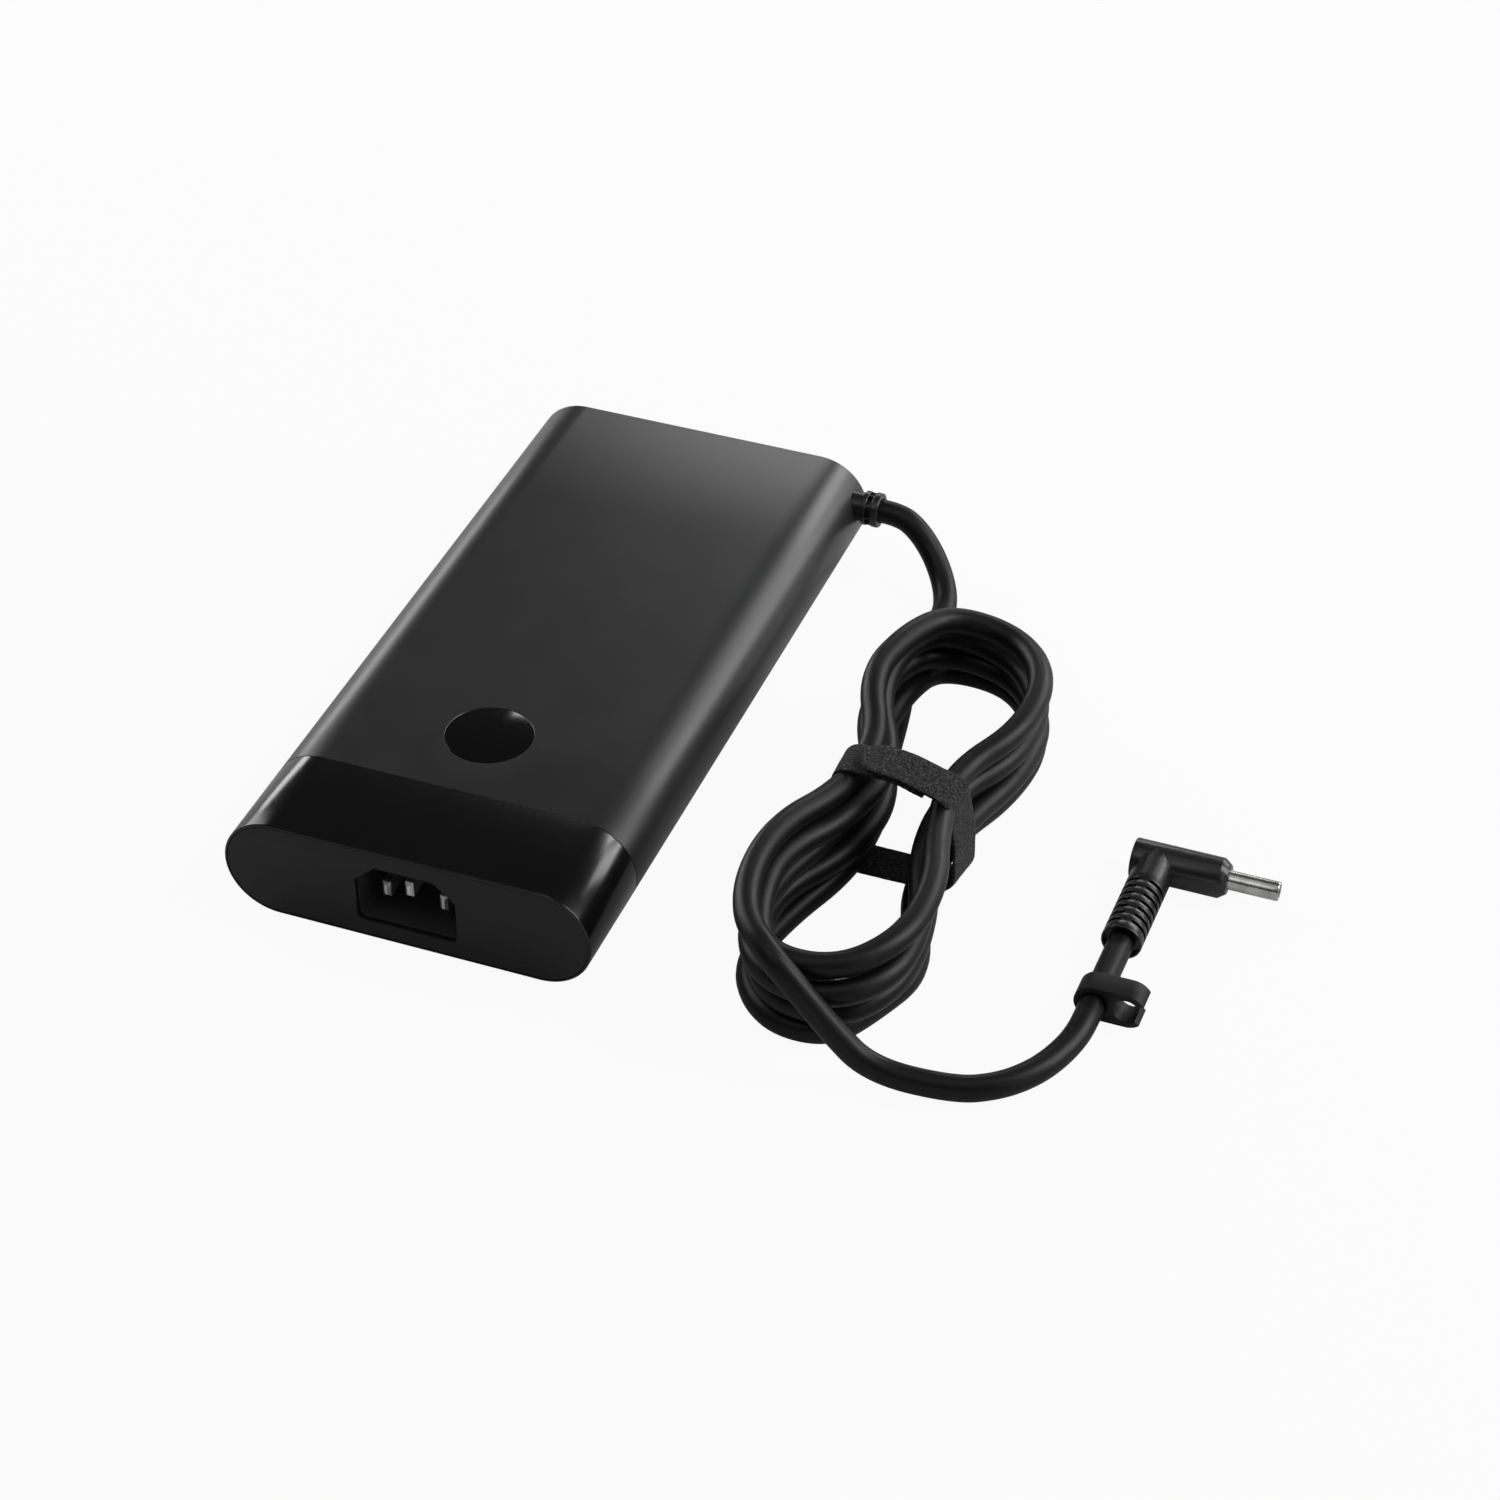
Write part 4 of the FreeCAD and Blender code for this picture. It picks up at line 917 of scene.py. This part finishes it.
clip = {
    "front": -59.5,
    "length": 5.8,
    "radius": 4.5,
    "ownHole": 3.05,
    "hook": 157.0,
    "hole": 3.0,
    # heights above the hook's middle
    "jawLow": -3.25,
    "mouthLow": -2.15,
    "mouthHigh": 2.25,
    "ease": 0.16,
}


def cordClip():
    left, hook, level = strainRelief["axis"], clip["hook"], plug["level"]
    r, hole = clip["radius"], clip["hole"]

    def angleAt(height, radius):
        return math.degrees(math.asin(clip[height] / radius))

    lipLow, lipHigh = angleAt("mouthLow", hole), angleAt("mouthHigh", hole)
    outline = arcPoints(hook, level, r, -90, angleAt("jawLow", r), steps=16)
    outline += arcPoints(hook, level, hole, lipLow, lipHigh - 360, steps=60)
    outline += arcPoints(hook, level, r, angleAt("mouthHigh", r), 90, steps=20)
    outline += arcPoints(left, level, r, 90, 270, steps=48)
    bore = arcPoints(left, level, clip["ownHole"], 0, 354, steps=59)
    stand = frontOn(clip["front"] + clip["length"] / 2)
    mesh = outlineMesh("clipBody", [outline, bore], clip["length"], clip["ease"], stand)
    return addPiece("clipBody", mesh, "clip_rubber", "clip", ["cord_clip"], sharp=30)


clipPiece = cordClip()
print("clip made")

# Strap: one band of looped fabric round the hank's waist, its free end laid over its start

strap = {
    "tip": (84.0, 31.15),
    # x, z, radius of the bend
    "corners": [
        (94.0, 30.45, 20.0), (107.0, 26.2, 5.5), (109.3, 13.5, 20.0), (109.3, 0.0, 5.0), (78.2, 0.0, 4.0),
        (78.2, 29.5, 4.5), (93.82, 29.5, 19.0),
    ],
    "start": (100.8, 26.85),
    "lean": 0.8,
    "middle": -26.0,
    "width": 10.0,
    "thickness": 0.85,
    "step": 0.4,
    "bendSteps": 12,
    "columns": 34,
    # half the width that is left at the very tip
    "tipReach": 0.35,
    # share of the thickness at the start, and the length over which the rest is gained
    "startShare": 0.3,
    "startRun": 5,
    # share of the thickness that the edges lose, and how close to them it keeps
    "edgeLoss": 0.3,
    "edgePower": 18,
    # unevenness of the surface: scale, height, place in the noise
    "ripples": ((1.9, 0.035, 0.0), (0.25, 0.1, 7.0)),
    # loose yarn along the edges, from this share of the half width outwards
    "fray": {"from": 0.97, "height": 0.07, "scale": 1.9, "apart": 3.0, "place": 4.2},
}


def strapLine():
    # centreline and outward directions, from the start under the free end, left and down, round to the tip
    points = [Vector(strap["tip"])] + [Vector(c[:2]) for c in strap["corners"]] + [Vector(strap["start"])]
    bendSteps = strap["bendSteps"]
    path = []
    for k, (_, _, r) in enumerate(strap["corners"], 1):
        back = (points[k - 1] - points[k]).normalized()
        ahead = (points[k + 1] - points[k]).normalized()
        half = back.angle(ahead) / 2
        centre = points[k] + (back + ahead).normalized() * (r / math.sin(half))
        first = (points[k] + back * (r / math.tan(half)) - centre).normalized()
        last = (points[k] + ahead * (r / math.tan(half)) - centre).normalized()
        if k == 1:
            path.append((points[0], first))
        for step in range(bendSteps + 1):
            way = first.slerp(last, step / bendSteps)
            path.append((centre + way * r, way))
    path.append((points[-1], path[-1][1]))
    path.reverse()
    line = []
    for (p, a), (q, b) in zip(path, path[1:]):
        steps = max(1, round((q - p).length / strap["step"]))
        for k in range(steps):
            way = a.lerp(b, k / steps).normalized()
            line.append((p.lerp(q, k / steps) - way * strap["thickness"] / 2, way))
    tip, way = path[-1]
    return line + [(tip - way * strap["thickness"] / 2, way)]


def rippleAt(x, y, z):
    height = 0.0
    for scale, size, place in strap["ripples"]:
        height += noise.noise(Vector((x * scale, y * scale, z * scale + place))) * size
    return height


def frayAt(along, across):
    fray = strap["fray"]
    if abs(across) <= fray["from"]:
        return 0.0
    place = Vector((along * fray["scale"], across * fray["apart"], fray["place"]))
    return fray["height"] * noise.noise(place)


def strapBand():
    line = strapLine()
    half = strap["width"] / 2
    lengths = [0.0]
    for (p, _), (q, _) in zip(line, line[1:]):
        lengths.append(lengths[-1] + (q - p).length)
    total = lengths[-1]
    left = min(corner[0] for corner in strap["corners"])
    right = max(corner[0] for corner in strap["corners"])
    columns = strap["columns"]
    rings = []
    for (p, way), along in zip(line, lengths):
        short = max(0.0, along - (total - half))
        reach = max(math.sqrt(max(0.0, half ** 2 - short ** 2)), strap["tipReach"])
        thick = strap["thickness"] / 2 * min(1.0, strap["startShare"] + along / strap["startRun"])
        lean = strap["lean"] * (p.x - left) / (right - left)
        ring = []
        for side in (1, -1):
            for k in range(columns + 1):
                share = (1 - 2 * k / columns) * side
                y = strap["middle"] + share * reach
                base = p + way * side * thick * (1 - strap["edgeLoss"] * abs(share) ** strap["edgePower"])
                base = base + way * rippleAt(base.x, y, base.y)
                ring.append((base.x + lean * share * reach / half, y + frayAt(along, side * share), base.y))
        rings.append(ring)
    mesh = loftMesh("strapBand", rings, caps=True)
    return addPiece("strapBand", mesh, "strap_fabric", "adapter", ["hank_strap"], sharp=60), total


strapFibres = {
    "seed": 11,
    "count": 5200,
    "scatter": 0.2,
    "upright": 0.7,
    "sideways": 0.9,
    "halfWidth": 0.012,
    "length": (0.12, 0.42),
    "bend": 0.12,
    "knee": 0.55,
}


def strapFuzz(band, look):
    # short loose fibres standing off the fabric
    chance = random.Random(look["seed"])
    faces = band.data.polygons
    mesh = bpy.data.meshes.new("strapFuzz")
    work = bmesh.new()

    def scatter(reach):
        return Vector([chance.uniform(-reach, reach) for _ in range(3)])

    for _ in range(look["count"]):
        face = faces[chance.randrange(len(faces))]
        root = face.center + scatter(look["scatter"] * mm)
        lean = (face.normal * look["upright"] + scatter(look["sideways"])).normalized()
        side = lean.orthogonal().normalized() * (look["halfWidth"] * mm)
        length = chance.uniform(*look["length"]) * mm
        bend = scatter(look["bend"] * mm)
        middle = root + lean * length * look["knee"] + bend * 0.5
        tip = root + lean * length + bend
        a, b, c, d = [work.verts.new(p) for p in (root - side, root + side, middle + side, middle - side)]
        work.faces.new((a, b, c, d))
        work.faces.new((d, c, work.verts.new(tip)))
    work.to_mesh(mesh)
    work.free()
    return addPiece("strapFuzz", mesh, "strap_fabric", "adapter", sharp=180)


strapPiece, strapLength = strapBand()
fuzzPiece = strapFuzz(strapPiece, strapFibres)
print("strap made, %.1f mm long" % strapLength)

# The cord belongs to the adapter and stands in for the CAD's cord parts

outputCord.data.materials.append(materials["cord_pvc"])
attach(outputCord, "adapter")
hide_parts("cord_from_gland", "cord_hank", "cord_to_plug")

# Floor and studio light, in metres

studio = {
    "floorHalf": 4.0,
    "floorDrop": 0.0002,
    "floorTone": 0.6,
    "floorRough": 0.9,
    # how white the floor is where it is seen directly, and where something mirrors it
    "floorSeen": 0.94,
    "floorMirrored": 0.08,
    "worldTone": 0.05,
    # how steeply a mirrored ray may rise before the horizon fades out, and how white the horizon is
    "horizon": (0.04, 0.16),
    "horizonMirrored": 0.14,
    "aim": (0.04, -0.02, 0.01),
    # each lamp stands this far off, unless it says otherwise, in its own direction from the aim
    "away": 1.2,
    "lamps": {
        "leftPanel": {"towards": (-0.86, 0.30, 0.42), "size": (0.6, 0.9), "power": 6.4},
        "rightPanel": {"towards": (0.83, 0.28, 0.56), "size": (0.42, 0.9), "power": 10.0},
        "frontSoftbox": {"towards": (-0.15, -0.50, 0.85), "size": (0.5, 0.5), "power": 1.0},
        "frontRight": {"towards": (0.90, -0.30, 0.30), "size": (0.25, 0.6), "power": 0.7},
        "frontLow": {"towards": (0.20, -0.95, 0.16), "size": (0.7, 0.16), "power": 0.5},
        "topSoftbox": {"towards": (0.10, -0.10, 1.00), "size": (0.7, 0.7), "power": 0.9, "away": 1.0},
        "rearLeftLow": {"towards": (-0.75, 0.66, 0.16), "size": (0.3, 0.22), "power": 1.1},
        "rearMiddle": {"towards": (-0.20, 0.97, 0.40), "size": (0.4, 0.22), "power": 1.2},
        "rearRight": {"towards": (0.32, 0.92, 0.40), "size": (0.4, 0.25), "power": 2.5},
        "rearRightLow": {"towards": (0.50, 0.87, 0.16), "size": (0.3, 0.22), "power": 0.4},
        "farRight": {"towards": (0.59, 0.73, 0.32), "size": (0.26, 0.34), "power": 1.5},
    },
}


def rayShares(board, seen):
    # the white background's share in each ray: seen by direct rays, and by mirrored ones the second
    # factor of the node that is returned with it
    path = board.add("ShaderNodeLightPath")
    direct = board.add("ShaderNodeMath", operation="MAXIMUM")
    board.wire(path, "Is Camera Ray", direct, 0)
    board.wire(path, "Is Transmission Ray", direct, 1)
    straight = board.add("ShaderNodeMath", {1: seen}, operation="MULTIPLY")
    board.wire(direct, 0, straight, 0)
    mirrored = board.add("ShaderNodeMath", operation="MULTIPLY")
    board.wire(path, "Is Glossy Ray", mirrored, 0)
    total = board.add("ShaderNodeMath", operation="MAXIMUM")
    board.wire(straight, 0, total, 0)
    board.wire(mirrored, 0, total, 1)
    return total, mirrored


def blendInto(board, ending, share, plain, white):
    # mixes two shaders, each a node and the name of its output, and ends the tree with them
    blend = board.add("ShaderNodeMixShader")
    board.wire(share, 0, blend, 0)
    board.wire(*plain, blend, 1)
    board.wire(*white, blend, 2)
    board.wire(blend, "Shader", board.nodes[ending], "Surface")


def addFloor():
    half, tone = studio["floorHalf"], studio["floorTone"]
    mesh = bpy.data.meshes.new("studioFloor")
    corners = [(-half, -half, 0), (half, -half, 0), (half, half, 0), (-half, half, 0)]
    mesh.from_pydata(corners, [], [(0, 1, 2, 3)])
    floor = bpy.data.objects.new("studioFloor", mesh)
    floor.location.z = -studio["floorDrop"]
    bpy.context.scene.collection.objects.link(floor)
    board = finishBoard("studioFloor")
    setSockets(board.shader, {
        "Base Color": (tone, tone, tone, 1),
        "Roughness": studio["floorRough"],
        "Specular IOR Level": 0.0,
    })
    glow = board.add("ShaderNodeEmission", {"Strength": 1.0})
    share, mirrored = rayShares(board, studio["floorSeen"])
    setSockets(mirrored, {1: studio["floorMirrored"]})
    blendInto(board, "Material Output", share, (board.shader, "BSDF"), (glow, "Emission"))
    floor.data.materials.append(board.owner)


def addLamps():
    aim = Vector(studio["aim"])
    for name, spot in studio["lamps"].items():
        lamp = bpy.data.lights.new(name, "AREA")
        lamp.shape = "RECTANGLE"
        lamp.size, lamp.size_y = spot["size"]
        lamp.energy = spot["power"]
        holder = bpy.data.objects.new(name, lamp)
        towards = Vector(spot["towards"]).normalized()
        place = aim + towards * spot.get("away", studio["away"])
        turn = (-towards).to_track_quat("-Z", "Y").to_matrix().to_4x4()
        holder.matrix_world = Matrix.Translation(place) @ turn
        bpy.context.scene.collection.objects.link(holder)


def addWorld():
    # dim above, with a pale horizon where a mirror looks along the floor
    world = bpy.data.worlds.new("studioWorld")
    bpy.context.scene.world = world
    board = NodeBoard(world)
    tone = studio["worldTone"]
    dim = board.nodes["Background"]
    setSockets(dim, {"Color": (tone, tone, tone, 1)})
    white = board.add("ShaderNodeBackground", {"Color": (1, 1, 1, 1)})
    split = board.add("ShaderNodeSeparateXYZ")
    board.wire(board.coords, "Generated", split, 0)
    fade = board.remap(split, "Z", studio["horizon"], (studio["horizonMirrored"], 0.0))
    share, mirrored = rayShares(board, 1.0)
    board.wire(fade, "Result", mirrored, 1)
    blendInto(board, "World Output", share, (dim, "Background"), (white, "Background"))


addFloor()
addLamps()
addWorld()
bpy.context.scene.view_settings.view_transform = "Standard"
print("studio ready")
